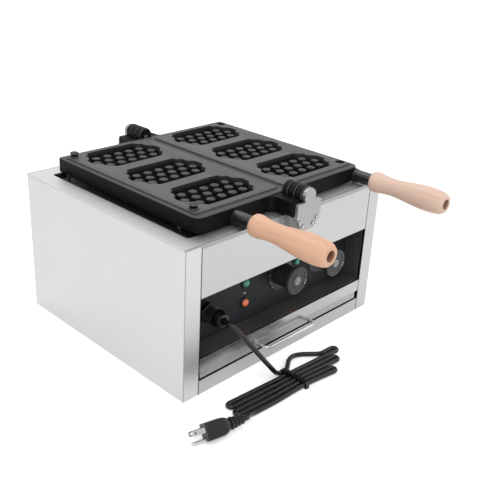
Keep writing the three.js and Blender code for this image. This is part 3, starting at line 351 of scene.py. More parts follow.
def group(
    name: str, inputs: Mapping[str, object], outputs: Mapping[str, str]
) -> tuple[Tree, Node, Node]:
    """An empty node group with named sockets.

    Args:
        name: The group's name.
        inputs: Default value of each input, a number or a vector.
        outputs: Type of each output, as Float or Vector.

    Returns:
        The group's tree, its input node and its output node.
    """
    tree = bpy.data.node_groups.new(name, "ShaderNodeTree")
    for label, value in inputs.items():
        kind = "NodeSocketFloat" if isinstance(value, float) else "NodeSocketVector"
        socket = tree.interface.new_socket(name=label, in_out="INPUT", socket_type=kind)
        socket.default_value = value
    for label, kind in outputs.items():
        tree.interface.new_socket(name=label, in_out="OUTPUT", socket_type=f"NodeSocket{kind}")
    return tree, tree.nodes.new("NodeGroupInput"), tree.nodes.new("NodeGroupOutput")


def blank(name: str) -> tuple[bpy.types.Material, Node]:
    """A node material.

    Args:
        name: The material's name.

    Returns:
        The material and its shader node.
    """
    material = bpy.data.materials.new(name)
    material.use_nodes = True
    return material, material.node_tree.nodes["Principled BSDF"]


@dataclass
class PaintShop:
    """Makes the shared node groups once and the materials on demand.

    Attributes:
        clouds: Fineness of the slow clouds in every finish.
        grain_deep: Depth of the fine grain, in metres.
        sound_sheen: Share of the sheen that a marked finish has where the mesh marks neither wear nor
            painted light.
        worn_sheen: Share of the sheen that it has where the mesh marks them.
        fold_tone: Colour of the painted shade along the folds.
        figure_size: Scale of the wood's figure.
        pore_size: Scale of its pores.
        pore_deep: Depth of its pores, in metres.
        pore_share: How dark they are.
        wood_vary: How far the wood's roughness goes below and above its own.
        mixed: The materials made so far.
        grain: The node group of every plain finish.
        fold_line: The node group of the painted shade along the folds.
        wood_grain: The node group of the wood.
    """

    clouds: float = 9.0
    grain_deep: float = 0.0008
    sound_sheen: float = 0.3
    worn_sheen: float = 1.6
    fold_tone: Point = (0.02, 0.02, 0.02)
    figure_size: Point = (60.0, 5.0, 60.0)
    pore_size: Point = (900.0, 45.0, 900.0)
    pore_deep: float = 0.0006
    pore_share: float = 0.35
    wood_vary: Flat = (0.06, 0.14)
    mixed: dict[str, bpy.types.Material] = field(default_factory=dict)
    grain: Tree = field(init=False)
    fold_line: Tree = field(init=False)
    wood_grain: Tree = field(init=False)

    def __post_init__(self) -> None:
        """Builds the groups."""
        self.grain = self._surface_grain()
        self.fold_line = self._fold_shade()
        self.wood_grain = self._turned_grain()

    def _surface_grain(self) -> Tree:
        """Fine grain, slow clouds and a relief, from Object coordinates.

        Returns:
            The group.
        """
        tree, source, sink = group(
            "surface_grain",
            {"Scale": 1200.0, "Stretch": (1.0, 1.0, 1.0), "Relief": 0.05},
            {"Grain": "Float", "Shade": "Float", "Normal": "Vector"},
        )
        given = source.outputs
        place = tree.nodes.new("ShaderNodeTexCoord").outputs["Object"]
        drawn = vector_step(tree, "MULTIPLY", place, given["Stretch"]).outputs["Vector"]
        fine = {"Vector": drawn, "Scale": given["Scale"], "Detail": 3.0}
        slow = {"Vector": place, "Scale": self.clouds, "Detail": 2.0}
        grain = add_node(tree, "ShaderNodeTexNoise", fine).outputs["Fac"]
        clouds = add_node(tree, "ShaderNodeTexNoise", slow).outputs["Fac"]
        relief = {"Distance": self.grain_deep, "Strength": given["Relief"], "Height": grain}
        normal = add_node(tree, "ShaderNodeBump", relief).outputs["Normal"]
        shade = reckon(tree, "MULTIPLY", reckon(tree, "ADD", grain, clouds), 0.5)
        feed(tree, sink, {"Grain": grain, "Shade": shade, "Normal": normal})
        return tree

    def _fold_shade(self) -> Tree:
        """The mask of painted shade along a straight line in the sheet, from Object coordinates.

        Returns:
            The group.
        """
        tree, source, sink = group(
            "fold_shade",
            {"Axes": (1.0, 1.0, 0.0), "Place": (0.0, 0.0, 0.0), "Width": 0.001, "Share": 0.5},
            {"Mask": "Float"},
        )
        given = source.outputs
        way = tree.nodes.new("ShaderNodeTexCoord").outputs["Object"]
        way = vector_step(tree, "ABSOLUTE", way).outputs["Vector"]
        for operation, other in (("MULTIPLY", "Axes"), ("SUBTRACT", "Place")):
            way = vector_step(tree, operation, way, given[other]).outputs["Vector"]
        away = vector_step(tree, "LENGTH", way).outputs["Value"]
        near, wide = reckon(tree, "MULTIPLY", given["Width"], 0.5), given["Width"]
        mask = spread(tree, away, from_min=near, from_max=wide, to_min=given["Share"], to_max=0.0)
        feed(tree, sink, {"Mask": mask})
        return tree

    def _turned_grain(self) -> Tree:
        """Wood grain that runs along Y, with pores.

        Returns:
            The group.
        """
        outputs = {"Tone": "Float", "Pores": "Float", "Normal": "Vector"}
        tree, source, sink = group("turned_grain", {"Figure": 0.45}, outputs)
        place = tree.nodes.new("ShaderNodeTexCoord").outputs["Object"]
        looks = []
        for size, detail, twist in ((self.figure_size, 6.0, 1.2), (self.pore_size, 2.0, 0.0)):
            drawn = add_node(tree, "ShaderNodeMapping", {"Vector": place, "Scale": size}).outputs[0]
            noise = {"Vector": drawn, "Scale": 1.0, "Detail": detail, "Distortion": twist}
            looks.append(add_node(tree, "ShaderNodeTexNoise", noise).outputs["Fac"])
        figure = spread(tree, looks[0], from_min=0.3, from_max=0.7)
        pores = spread(tree, looks[1], from_min=0.62, from_max=0.78)
        relief = {"Strength": 0.12, "Distance": self.pore_deep, "Height": pores}
        tone = reckon(tree, "MULTIPLY", figure, source.outputs["Figure"])
        dark = reckon(tree, "MULTIPLY", pores, self.pore_share)
        normal = add_node(tree, "ShaderNodeBump", relief, invert=True).outputs["Normal"]
        feed(tree, sink, {"Tone": tone, "Pores": dark, "Normal": normal})
        return tree

    def of(self, look: Look | Wood) -> bpy.types.Material:
        """The material of a finish.

        Args:
            look: The finish wanted.

        Returns:
            The material, made once.
        """
        if look.name not in self.mixed:
            mix = self._wood if isinstance(look, Wood) else self._plain
            self.mixed[look.name] = mix(look)
        return self.mixed[look.name]

    def _plain(self, look: Look) -> bpy.types.Material:
        """Mixes a plain finish.

        Args:
            look: The finish.

        Returns:
            The material.
        """
        finish = look.value
        material, shader = blank(look.name.lower())
        tree = material.node_tree
        kind = {"Scale": finish.scale, "Stretch": finish.stretch, "Relief": finish.relief}
        grain = add_node(tree, "ShaderNodeGroup", kind, node_tree=self.grain).outputs
        low, high = max(finish.roughness - finish.vary, 0.03), finish.roughness + finish.vary
        dark = [c * (1.0 - finish.tint) for c in finish.color]
        pale = [min(c * (1.0 + finish.tint), 1.0) for c in finish.color]
        color = blend(tree, grain["Shade"], dark, pale)
        feed(tree, shader, {"Specular IOR Level": min(finish.specular, 0.5)})
        # The mesh's mark blends in the paler marked colour and raises the sheen: real wear together
        # with painted top light and highlights.
        if any(finish.worn):
            wear = add_node(tree, "ShaderNodeAttribute", {}, attribute_name="wear").outputs["Fac"]
            color = blend(tree, wear, color, finish.worn)
            sound = finish.specular * self.sound_sheen
            worn = min(finish.specular * self.worn_sheen, 1.0)
            sheen = spread(tree, wear, to_min=sound, to_max=worn)
            feed(tree, shader, {"Specular IOR Level": sheen})
        # painted shade along the folds and seams
        for fold in finish.folds:
            color = self._folded(tree, color, fold)
        made = {
            "Base Color": color,
            "Roughness": spread(tree, grain["Grain"], to_min=low, to_max=high),
            "Normal": grain["Normal"],
            "Metallic": finish.metallic,
            "Coat Weight": finish.coat,
        }
        feed(tree, shader, made)
        return material

    def _folded(self, tree: Tree, color: Socket, fold: Fold) -> Socket:
        """Paints shade into a colour along a fold.

        Args:
            tree: The material's tree.
            color: The colour.
            fold: The fold.

        Returns:
            The darkened colour.
        """
        place = [c * MM for c in fold.place]
        inputs = {"Axes": fold.axes, "Place": place, "Width": fold.width * MM, "Share": fold.share}
        line = add_node(tree, "ShaderNodeGroup", inputs, node_tree=self.fold_line)
        return blend(tree, line.outputs["Mask"], color, self.fold_tone)

    def _wood(self, kind: Wood) -> bpy.types.Material:
        """Mixes a handle's wood.

        Args:
            kind: Which wood.

        Returns:
            The material.
        """
        finish = kind.value
        material, shader = blank(f"{kind.name.lower()}_turned_wood")
        tree = material.node_tree
        inputs = {"Figure": finish.figure}
        grain = add_node(tree, "ShaderNodeGroup", inputs, node_tree=self.wood_grain).outputs
        wear = add_node(tree, "ShaderNodeAttribute", {}, attribute_name="wear").outputs["Fac"]
        color = blend(tree, grain["Tone"], finish.pale, finish.deep)
        # The pores darken the wood, and the mesh's mark darkens the bore with the same colour: painted
        # shade in the bore.
        for share in (grain["Pores"], wear):
            color = blend(tree, share, color, finish.pore)
        low, high = finish.roughness - self.wood_vary[0], finish.roughness + self.wood_vary[1]
        rough = spread(tree, grain["Tone"], to_min=low, to_max=high)
        feed(tree, shader, {"Base Color": color, "Normal": grain["Normal"], "Roughness": rough})
        return material


# Shaping


class Former:
    """A mesh that operators shape, and that then becomes a finished piece."""

    def __init__(self, paint: PaintShop, name: str) -> None:
        """Starts an empty mesh.

        Args:
            paint: The materials.
            name: Name of the piece.
        """
        self.paint = paint
        self.name = name
        self.bm = bmesh.new()
        # Per-vertex mark that the materials blend in: real wear together with painted light on the
        # moulds' tops and edges and painted shade in the grips' bores.
        self.wear = self.bm.verts.layers.float.new("wear")

    def ring(self, points: Iterable[Point], wear: float = 0.0, closed: bool = True) -> Edges:
        """A line of edges through points.

        Args:
            points: Places in millimetres.
            wear: Share of wear and painted light there.
            closed: Whether the last point joins the first.

        Returns:
            The edges.
        """
        verts = [self.bm.verts.new(Vector(p) * MM) for p in points]
        for vert in verts:
            vert[self.wear] = wear
        after = verts[1:] + (verts[:1] if closed else [])
        return [self.bm.edges.new(pair) for pair in zip(verts, after)]

    def circle(self, radius: float, steps: int, place: Matrix, wear: float = 0.0) -> Edges:
        """A circle about the local Z axis.

        Args:
            radius: Radius in millimetres.
            steps: Number of edges.
            place: Its place in millimetres.
            wear: Share of wear and painted light there.

        Returns:
            The edges.
        """
        made = bmesh.ops.create_circle(
            self.bm, segments=steps, radius=radius, matrix=Matrix.Scale(MM, 4) @ place
        )["verts"]
        for vert in made:
            vert[self.wear] = wear
        return list({edge for vert in made for edge in vert.link_edges})

    def draw(
        self,
        edges: Edges,
        shift: Point = (0.0, 0.0, 0.0),
        scale: Point = (1.0, 1.0, 1.0),
        wear: float = 0.0,
        about: Point | None = None,
    ) -> Edges:
        """Draws a wall out of a ring of edges.

        Args:
            edges: The ring.
            shift: How far the new ring moves, in millimetres.
            scale: How it grows about its middle.
            wear: Share of wear and painted light on the new ring.
            about: Its middle in millimetres, or none to work it out.

        Returns:
            The new ring.
        """
        made = bmesh.ops.extrude_edge_only(self.bm, edges=edges)["geom"]
        verts = picked(made, bmesh.types.BMVert)
        middle = sum((v.co for v in verts), Vector()) / len(verts)
        if about is not None:
            middle = Vector(about) * MM
        bmesh.ops.scale(self.bm, vec=scale, space=Matrix.Translation(-middle), verts=verts)
        bmesh.ops.translate(self.bm, vec=Vector(shift) * MM, verts=verts)
        for vert in verts:
            vert[self.wear] = wear
        return [edge for edge in picked(made, bmesh.types.BMEdge) if edge.is_boundary]

    def bridge(self, *rings: Edges) -> None:
        """Joins rings, one after the other.

        Args:
            rings: The rings in order.
        """
        for low, high in zip(rings, rings[1:]):
            bmesh.ops.bridge_loops(self.bm, edges=low + high)

    def fill(self, *rings: Edges) -> list[bmesh.types.BMFace]:
        """Fills a flat ring, less the rings inside it.

        Args:
            rings: The outer ring and those inside.

        Returns:
            The new faces.
        """
        edges = [edge for ring in rings for edge in ring]
        made = bmesh.ops.triangle_fill(self.bm, use_beauty=True, edges=edges)
        return picked(made["geom"], bmesh.types.BMFace)

    def thicken(self, faces: list[bmesh.types.BMFace], shift: Point) -> None:
        """Draws a solid out of flat faces.

        Args:
            faces: The faces.
            shift: Where to, in millimetres.
        """
        made = bmesh.ops.extrude_face_region(self.bm, geom=faces, use_keep_orig=True)["geom"]
        verts = picked(made, bmesh.types.BMVert)
        bmesh.ops.translate(self.bm, vec=Vector(shift) * MM, verts=verts)

    def turn(self, profile: Iterable[tuple], steps: int, place: Matrix) -> None:
        """Spins a profile a full turn about the local Z axis.

        Args:
            profile: Radius, distance along the axis and, if any, share of wear and painted light.
            steps: Steps round.
            place: Where the axis lies, in millimetres.
        """
        verts = []
        for radius, along, *wear in profile:
            vert = self.bm.verts.new(Vector((radius, 0.0, along)) * MM)
            vert[self.wear] = wear[0] if wear else 0.0
            verts.append(vert)
        line = [self.bm.edges.new(pair) for pair in zip(verts, verts[1:])]
        known = set(self.bm.verts) - set(verts)
        bmesh.ops.spin(
            self.bm,
            geom=verts + line,
            cent=(0.0, 0.0, 0.0),
            axis=(0.0, 0.0, 1.0),
            angle=2 * math.pi,
            steps=steps,
            use_merge=True,
        )
        new = [v for v in self.bm.verts if v not in known]
        bmesh.ops.transform(self.bm, matrix=metric(place), verts=new)

    def block(self, low: Point, high: Point, place: Matrix = Matrix()) -> list[bmesh.types.BMVert]:
        """A block between two corners.

        Args:
            low: One corner in millimetres.
            high: The other.
            place: Its place in millimetres.

        Returns:
            Its vertices.
        """
        size = [abs(b - a) for a, b in zip(low, high)]
        middle = [(a + b) / 2 for a, b in zip(low, high)]
        stand = place @ Matrix.Translation(middle) @ Matrix.Diagonal((*size, 1.0))
        return bmesh.ops.create_cube(self.bm, size=1.0, matrix=Matrix.Scale(MM, 4) @ stand)["verts"]

    def score(self, outline: Iterable[Flat], place: Matrix, level: float, deep: float) -> None:
        """Closes the mesh's open ring with a slot sunk in it.

        Args:
            outline: Outline of the slot.
            place: Where its local Z axis lies, in millimetres.
            level: Height of the ring.
            deep: Depth of the slot.
        """
        rim = [e for e in self.bm.edges if e.is_boundary]
        slot = self.ring(lifted(outline, place, level))
        self.fill(rim, slot)
        ahead = place.to_3x3() @ Vector((0.0, 0.0, -deep))
        self.fill(self.draw(slot, tuple(ahead), (0.7, 0.7, 0.7)))

    def tube(self, line: Sequence[Vector], radius: float, steps: int = 14) -> None:
        """A round wire along a line, closed at both ends.

        Args:
            line: Points in millimetres.
            radius: Radius of the wire.
            steps: Steps round.
        """
        rings = []
        side = Vector((0.0, 0.0, 1.0))
        for i, point in enumerate(line):
            ahead = (line[min(i + 1, len(line) - 1)] - line[max(i - 1, 0)]).normalized()
            side = (side - ahead * side.dot(ahead)).normalized()
            place = Matrix((side, ahead.cross(side), ahead)).transposed().to_4x4()
            place.translation = point
            rings.append(self.circle(radius, steps, place))
        self.bridge(*rings)
        self.fill(rings[0])
        self.fill(rings[-1])

    def finish(
        self,
        look: Look | Wood,
        body: Body,
        replaces: Sequence[str] = (),
        smooth: float = 35.0,
        bevel: float = 0.0,
        slot: str = "",
    ) -> bpy.types.Object:
        """Closes the mesh and sets the finished piece on its body.

        Args:
            look: Its finish.
            body: Its body.
            replaces: CAD nodes that it stands for.
            smooth: Edges flatter than this many degrees are shaded smooth.
            bevel: Width of a bevel on the sharp edges, in millimetres.
            slot: The record's material slot, where it isn't the finish's own. Not used.

        Returns:
            The piece.
        """
        bmesh.ops.remove_doubles(self.bm, verts=self.bm.verts, dist=WELD)
        bmesh.ops.recalc_face_normals(self.bm, faces=self.bm.faces)
        for one in self.bm.faces:
            one.smooth = True
        limit = math.radians(smooth)
        for edge in self.bm.edges:
            edge.smooth = len(edge.link_faces) == 2 and edge.calc_face_angle(0.0) < limit
        mesh = bpy.data.meshes.new(self.name)
        self.bm.to_mesh(mesh)
        self.bm.free()
        piece = put(self.name, mesh)
        mesh.materials.append(self.paint.of(look))
        if bevel > 0:
            round_edges(piece, bevel)
        return mount(piece, body, replaces)


def picked(geometry: Iterable, kind: type) -> list:
    """What is of one kind in an operator's result.

    Args:
        geometry: The vertices, edges and faces.
        kind: The kind wanted.

    Returns:
        Those of that kind.
    """
    return [part for part in geometry if isinstance(part, kind)]


def in_plane(edges: Iterable[bmesh.types.BMEdge], axis: int, value: float) -> Edges:
    """The edges that lie in a plane across an axis.

    Args:
        edges: The edges to choose from.
        axis: 0, 1 or 2 for X, Y or Z.
        value: Where the plane lies, in millimetres.

    Returns:
        Those in the plane.
    """
    return [e for e in edges if all(abs(v.co[axis] - value * MM) < NEAR for v in e.verts)]


def put(name: str, data: bpy.types.ID) -> bpy.types.Object:
    """Puts a new object in the scene.

    Args:
        name: Its name.
        data: Its mesh, curve, camera or light.

    Returns:
        The object.
    """
    made = bpy.data.objects.new(name, data)
    bpy.context.scene.collection.objects.link(made)
    return made


def metric(place: Matrix) -> Matrix:
    """The same place for a mesh in metres.

    Args:
        place: A place in millimetres.

    Returns:
        The place in metres.
    """
    made = place.copy()
    made.translation = place.translation * MM
    return made


def round_edges(
    piece: bpy.types.Object, width: float, segments: int = 2, sharp: float = 38.0
) -> None:
    """Rounds a piece's sharp edges a little.

    Args:
        piece: The piece.
        width: Width in millimetres.
        segments: Steps of the rounding.
        sharp: Least angle of a sharp edge, in degrees.
    """
    edge = piece.modifiers.new("rounded edge", "BEVEL")
    edge.width = width * MM
    edge.segments = segments
    edge.limit_method = "ANGLE"
    edge.angle_limit = math.radians(sharp)
    edge.harden_normals = True


def mount(
    piece: bpy.types.Object, body: Body, replaces: Sequence[str] = ()
) -> bpy.types.Object:
    """Sets a piece on its body and hides the CAD nodes that it stands for.

    Args:
        piece: The piece.
        body: Its body.
        replaces: CAD nodes that it stands for.

    Returns:
        The piece.
    """
    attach(piece, body.value)
    if replaces:
        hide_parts(*replaces)
    log.info("%s rides %s", piece.name, body.value)
    return piece


def facing_front(x: float, y: float, z: float) -> Matrix:
    """A place whose local Z axis points to the front.

    Args:
        x: Across.
        y: Back.
        z: Up.

    Returns:
        The place in millimetres.
    """
    return Matrix.Translation((x, y, z)) @ Matrix.Rotation(math.radians(90), 4, "X")


def lifted(outline: Iterable[Flat], place: Matrix, level: float) -> list[Point]:
    """A flat outline, set at a height along a place's local Z axis.

    Args:
        outline: The outline.
        place: The place in millimetres.
        level: The height.

    Returns:
        Its points.
    """
    return [tuple(place @ Vector((u, v, level))) for u, v in outline]


def arc(middle: Flat, radius: float, start: float, end: float, steps: int) -> list[Flat]:
    """Points on an arc.

    Args:
        middle: Its middle.
        radius: Its radius.
        start: First angle in degrees.
        end: Last angle in degrees.
        steps: Number of steps.

    Returns:
        The points.
    """
    turns = [math.radians(start + (end - start) * i / steps) for i in range(steps + 1)]
    return [(middle[0] + radius * math.cos(a), middle[1] + radius * math.sin(a)) for a in turns]


def rounded(low: Flat, high: Flat, radius: float, steps: int = 5) -> list[Flat]:
    """A rectangle with round corners.

    Args:
        low: Its low corner.
        high: Its high corner.
        radius: Corner radius.
        steps: Steps of each corner.

    Returns:
        The outline, anticlockwise.
    """
    x0, y0 = (c + radius for c in low)
    x1, y1 = (c - radius for c in high)
    made: list[Flat] = []
    for middle, start in zip(((x1, y0), (x1, y1), (x0, y1), (x0, y0)), (-90, 0, 90, 180)):
        made += arc(middle, radius, start, start + 90, steps)
    return made


def cut_corners(outline: Sequence[Flat], rounds: int, share: float = 0.22) -> list[Flat]:
    """Rounds a closed outline by cutting its corners again and again.

    Args:
        outline: The outline.
        rounds: How many times.
        share: How much of each side a cut takes.

    Returns:
        The finer outline.
    """
    line = list(outline)
    for _ in range(rounds):
        finer: list[Flat] = []
        for (ax, ay), (bx, by) in zip(line, line[1:] + line[:1]):
            for t in (share, 1 - share):
                finer.append((ax + (bx - ax) * t, ay + (by - ay) * t))
        line = finer
    return line


def flowing(points: Sequence[Vector], step: float) -> list[Vector]:
    """A smooth line through points, with closely spaced places on it.

    Args:
        points: Points that it passes.
        step: Greatest distance between the new places.

    Returns:
        The places.
    """
    line: list[Vector] = []
    last = len(points) - 1
    for i in range(last):
        a, b = points[i], points[i + 1]
        before, after = points[max(i - 1, 0)], points[min(i + 2, last)]
        d0, d1, d2 = (max(gap.length, 1e-6) ** 0.5 for gap in (a - before, b - a, after - b))
        leave, reach = b - a, b - a
        if i > 0:
            leave = (a - before) * (d1 / d0) - (b - before) * (d1 / (d0 + d1)) + leave
        if i < last - 1:
            reach = reach - (after - a) * (d1 / (d1 + d2)) + (after - b) * (d1 / d2)
        parts = max(math.ceil((b - a).length / step), 1)
        for k in range(parts):
            t = k / parts
            line.append(
                a * (2 * t**3 - 3 * t**2 + 1)
                + leave * (t**3 - 2 * t**2 + t)
                + b * (3 * t**2 - 2 * t**3)
                + reach * (t**3 - t**2)
            )
    line.append(points[-1].copy())
    return line


# Studio


@dataclass
class Studio:
    """Camera, floor, world and lamps, at the photograph's viewpoint.

    The camera's place is in millimetres. Each lamp has a name, a place and an aim in metres, a side and
    a power.
    """

    location: Point = (-740.2, -770.1, 598.8)
    right: Point = (0.6996348, -0.7130225, 0.0459363)
    ahead: Point = (0.6634915, 0.6244869, -0.4120620)
    lens: float = 56.42
    sensor: float = 36.0
    clip: Flat = (0.05, 50.0)
    white: tuple[float, ...] = (1.0, 1.0, 1.0, 1.0)
    floor_tone: float = 0.86
    floor_rough: float = 0.9
    floor_lift: float = 0.34
    floor_half: float = 9.0
    ambient: float = 0.78
    lamps: tuple[tuple[str, Point, Point, float, float], ...] = (
        ("key_lamp", (-1.3, -1.5, 2.1), (0.0, 0.0, 0.15), 1.6, 30.0),
        ("fill_lamp", (1.9, -1.3, 1.2), (0.0, 0.0, 0.12), 1.6, 10.0),
        ("back_lamp", (0.2, 0.9, 2.3), (0.0, 0.0, 0.2), 1.5, 14.0),
    )

    def camera(self) -> None:
        """Sets the camera as the photograph's perspective gives it."""
        data = bpy.data.cameras.new("photo_camera")
        data.lens = self.lens
        data.sensor_width = self.sensor
        data.clip_start, data.clip_end = self.clip
        made = put("photo_camera", data)
        ahead = Vector(self.ahead).normalized()
        right = Vector(self.right)
        right = (right - ahead * right.dot(ahead)).normalized()
        turn = Matrix((right, right.cross(ahead), -ahead)).transposed().to_4x4()
        made.matrix_world = Matrix.Translation(Vector(self.location) * MM) @ turn
        bpy.context.scene.camera = made

    def _seen_directly(self, tree: Tree) -> Socket:
        """A mask of the rays that show the backdrop.

        Args:
            tree: The tree that it joins.

        Returns:
            1 for camera, glossy and transmission rays.
        """
        path = tree.nodes.new("ShaderNodeLightPath")
        mask = path.outputs["Is Camera Ray"]
        for name in ("Is Glossy Ray", "Is Transmission Ray"):
            mask = reckon(tree, "MAXIMUM", mask, path.outputs[name])
        return mask

    def world(self) -> None:
        """A white surround that lights the part softly."""
        world = bpy.data.worlds.new("white_studio")
        world.use_nodes = True
        tree = world.node_tree
        lift = reckon(tree, "MULTIPLY", self._seen_directly(tree), 1.0 - self.ambient)
        strength = reckon(tree, "ADD", lift, self.ambient)
        feed(tree, tree.nodes["Background"], {"Color": self.white, "Strength": strength})
        bpy.context.scene.world = world

    def floor(self) -> None:
        """A wide, plain, pale floor that keeps the shadow."""
        sheet = bmesh.new()
        bmesh.ops.create_grid(sheet, x_segments=1, y_segments=1, size=self.floor_half)
        mesh = bpy.data.meshes.new("studio_floor")
        sheet.to_mesh(mesh)
        sheet.free()
        made = put("studio_floor", mesh)
        material, shader = blank("studio_floor")
        tree = material.node_tree
        lift = reckon(tree, "MULTIPLY", self._seen_directly(tree), self.floor_lift)
        surface = {
            "Base Color": (self.floor_tone, self.floor_tone, self.floor_tone, 1.0),
            "Roughness": self.floor_rough,
            "Emission Color": self.white,
            "Emission Strength": lift,
        }
        feed(tree, shader, surface)
        mesh.materials.append(material)

    def lamp(self, name: str, at: Point, towards: Point, size: float, power: float) -> None:
        """A soft, square lamp.

        Args:
            name: Its name.
            at: Its place in metres.
            towards: What it points at.
            size: Its side in metres.
            power: Its power in watts.
        """
        data = bpy.data.lights.new(name, "AREA")
        data.size = size
        data.energy = power
        made = put(name, data)
        made.location = at
        made.rotation_euler = (Vector(towards) - Vector(at)).to_track_quat("-Z", "Y").to_euler()

    def build(self) -> None:
        """Sets up the world, the floor and the lamps."""
        bpy.context.scene.view_settings.view_transform = "Standard"
        self.world()
        self.floor()
        for lamp in self.lamps:
            self.lamp(*lamp)


# The waffle maker


@dataclass
class SubAssembly:
    """A part of the waffle maker, dressed with the shared materials."""

    paint: PaintShop


@dataclass
class CaseMetalwork(SubAssembly):
    """The folded case and its inner metal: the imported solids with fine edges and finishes."""

    finishes: dict[str, tuple[Look, float]] = field(
        default_factory=lambda: {
            "side_panel_left": (Look.SIDE_STEEL, 0.5),
            "side_panel_right": (Look.FRONT_STEEL, 0.5),
            "back_panel": (Look.FRONT_STEEL, 0.25),
            "base_pan": (Look.LOWER_STEEL, 0.35),
            "top_deck": (Look.DECK_STEEL, 0.4),
            "front_fascia": (Look.FRONT_STEEL, 0.35),
            "lower_rail": (Look.LOWER_STEEL, 0.4),
            "heater_well": (Look.WELL_COAT, 0.3),
            "element_frame": (Look.WELL_COAT, 0.3),
            "rest_rail_left": (Look.WELL_COAT, 0.3),
            "rest_rail_right": (Look.WELL_COAT, 0.3),
            "hinge_bracket_front": (Look.BRACKET_STEEL, 0.6),
            "hinge_bracket_rear": (Look.BRACKET_STEEL, 0.6),
            "recess_liner": (Look.RECESS_STEEL, 0.25),
            "control_panel": (Look.PANEL_COAT, 0.2),
            "terminal_block": (Look.CERAMIC, 0.6),
            "thermostat_left": (Look.CERAMIC, 0.5),
            "thermostat_right": (Look.CERAMIC, 0.5),
            "thermostat_shaft_left": (Look.CHROME, 0.0),
            "thermostat_shaft_right": (Look.CHROME, 0.0),
            "crumb_tray": (Look.TRAY_STEEL, 0.35),
            "gland_nut": (Look.BLACK_PLASTIC, 0.4),
            "heating_element_left": (Look.ELEMENT_SHEATH, 0.0),
            "heating_element_right": (Look.ELEMENT_SHEATH, 0.0),
            "hinge_pin_front": (Look.CHROME, 0.5),
            "hinge_pin_rear": (Look.CHROME, 0.5),
            "grip_bolt_left": (Look.SCREW_STEEL, 0.4),
            "grip_bolt_right": (Look.SCREW_STEEL, 0.4),
        }
    )
    flat_angle: float = 30.0

    def build(self) -> None:
        """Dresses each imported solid."""
        for name, (look, width) in self.finishes.items():
            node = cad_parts[name]
            node.data.materials.clear()
            node.data.materials.append(self.paint.of(look))
            for polygon in node.data.polygons:
                polygon.use_smooth = True
            node.data.set_sharp_from_angle(angle=math.radians(self.flat_angle))
            if width > 0:
                round_edges(node, width)
            log.info("%s has %s", name, look.name.lower())


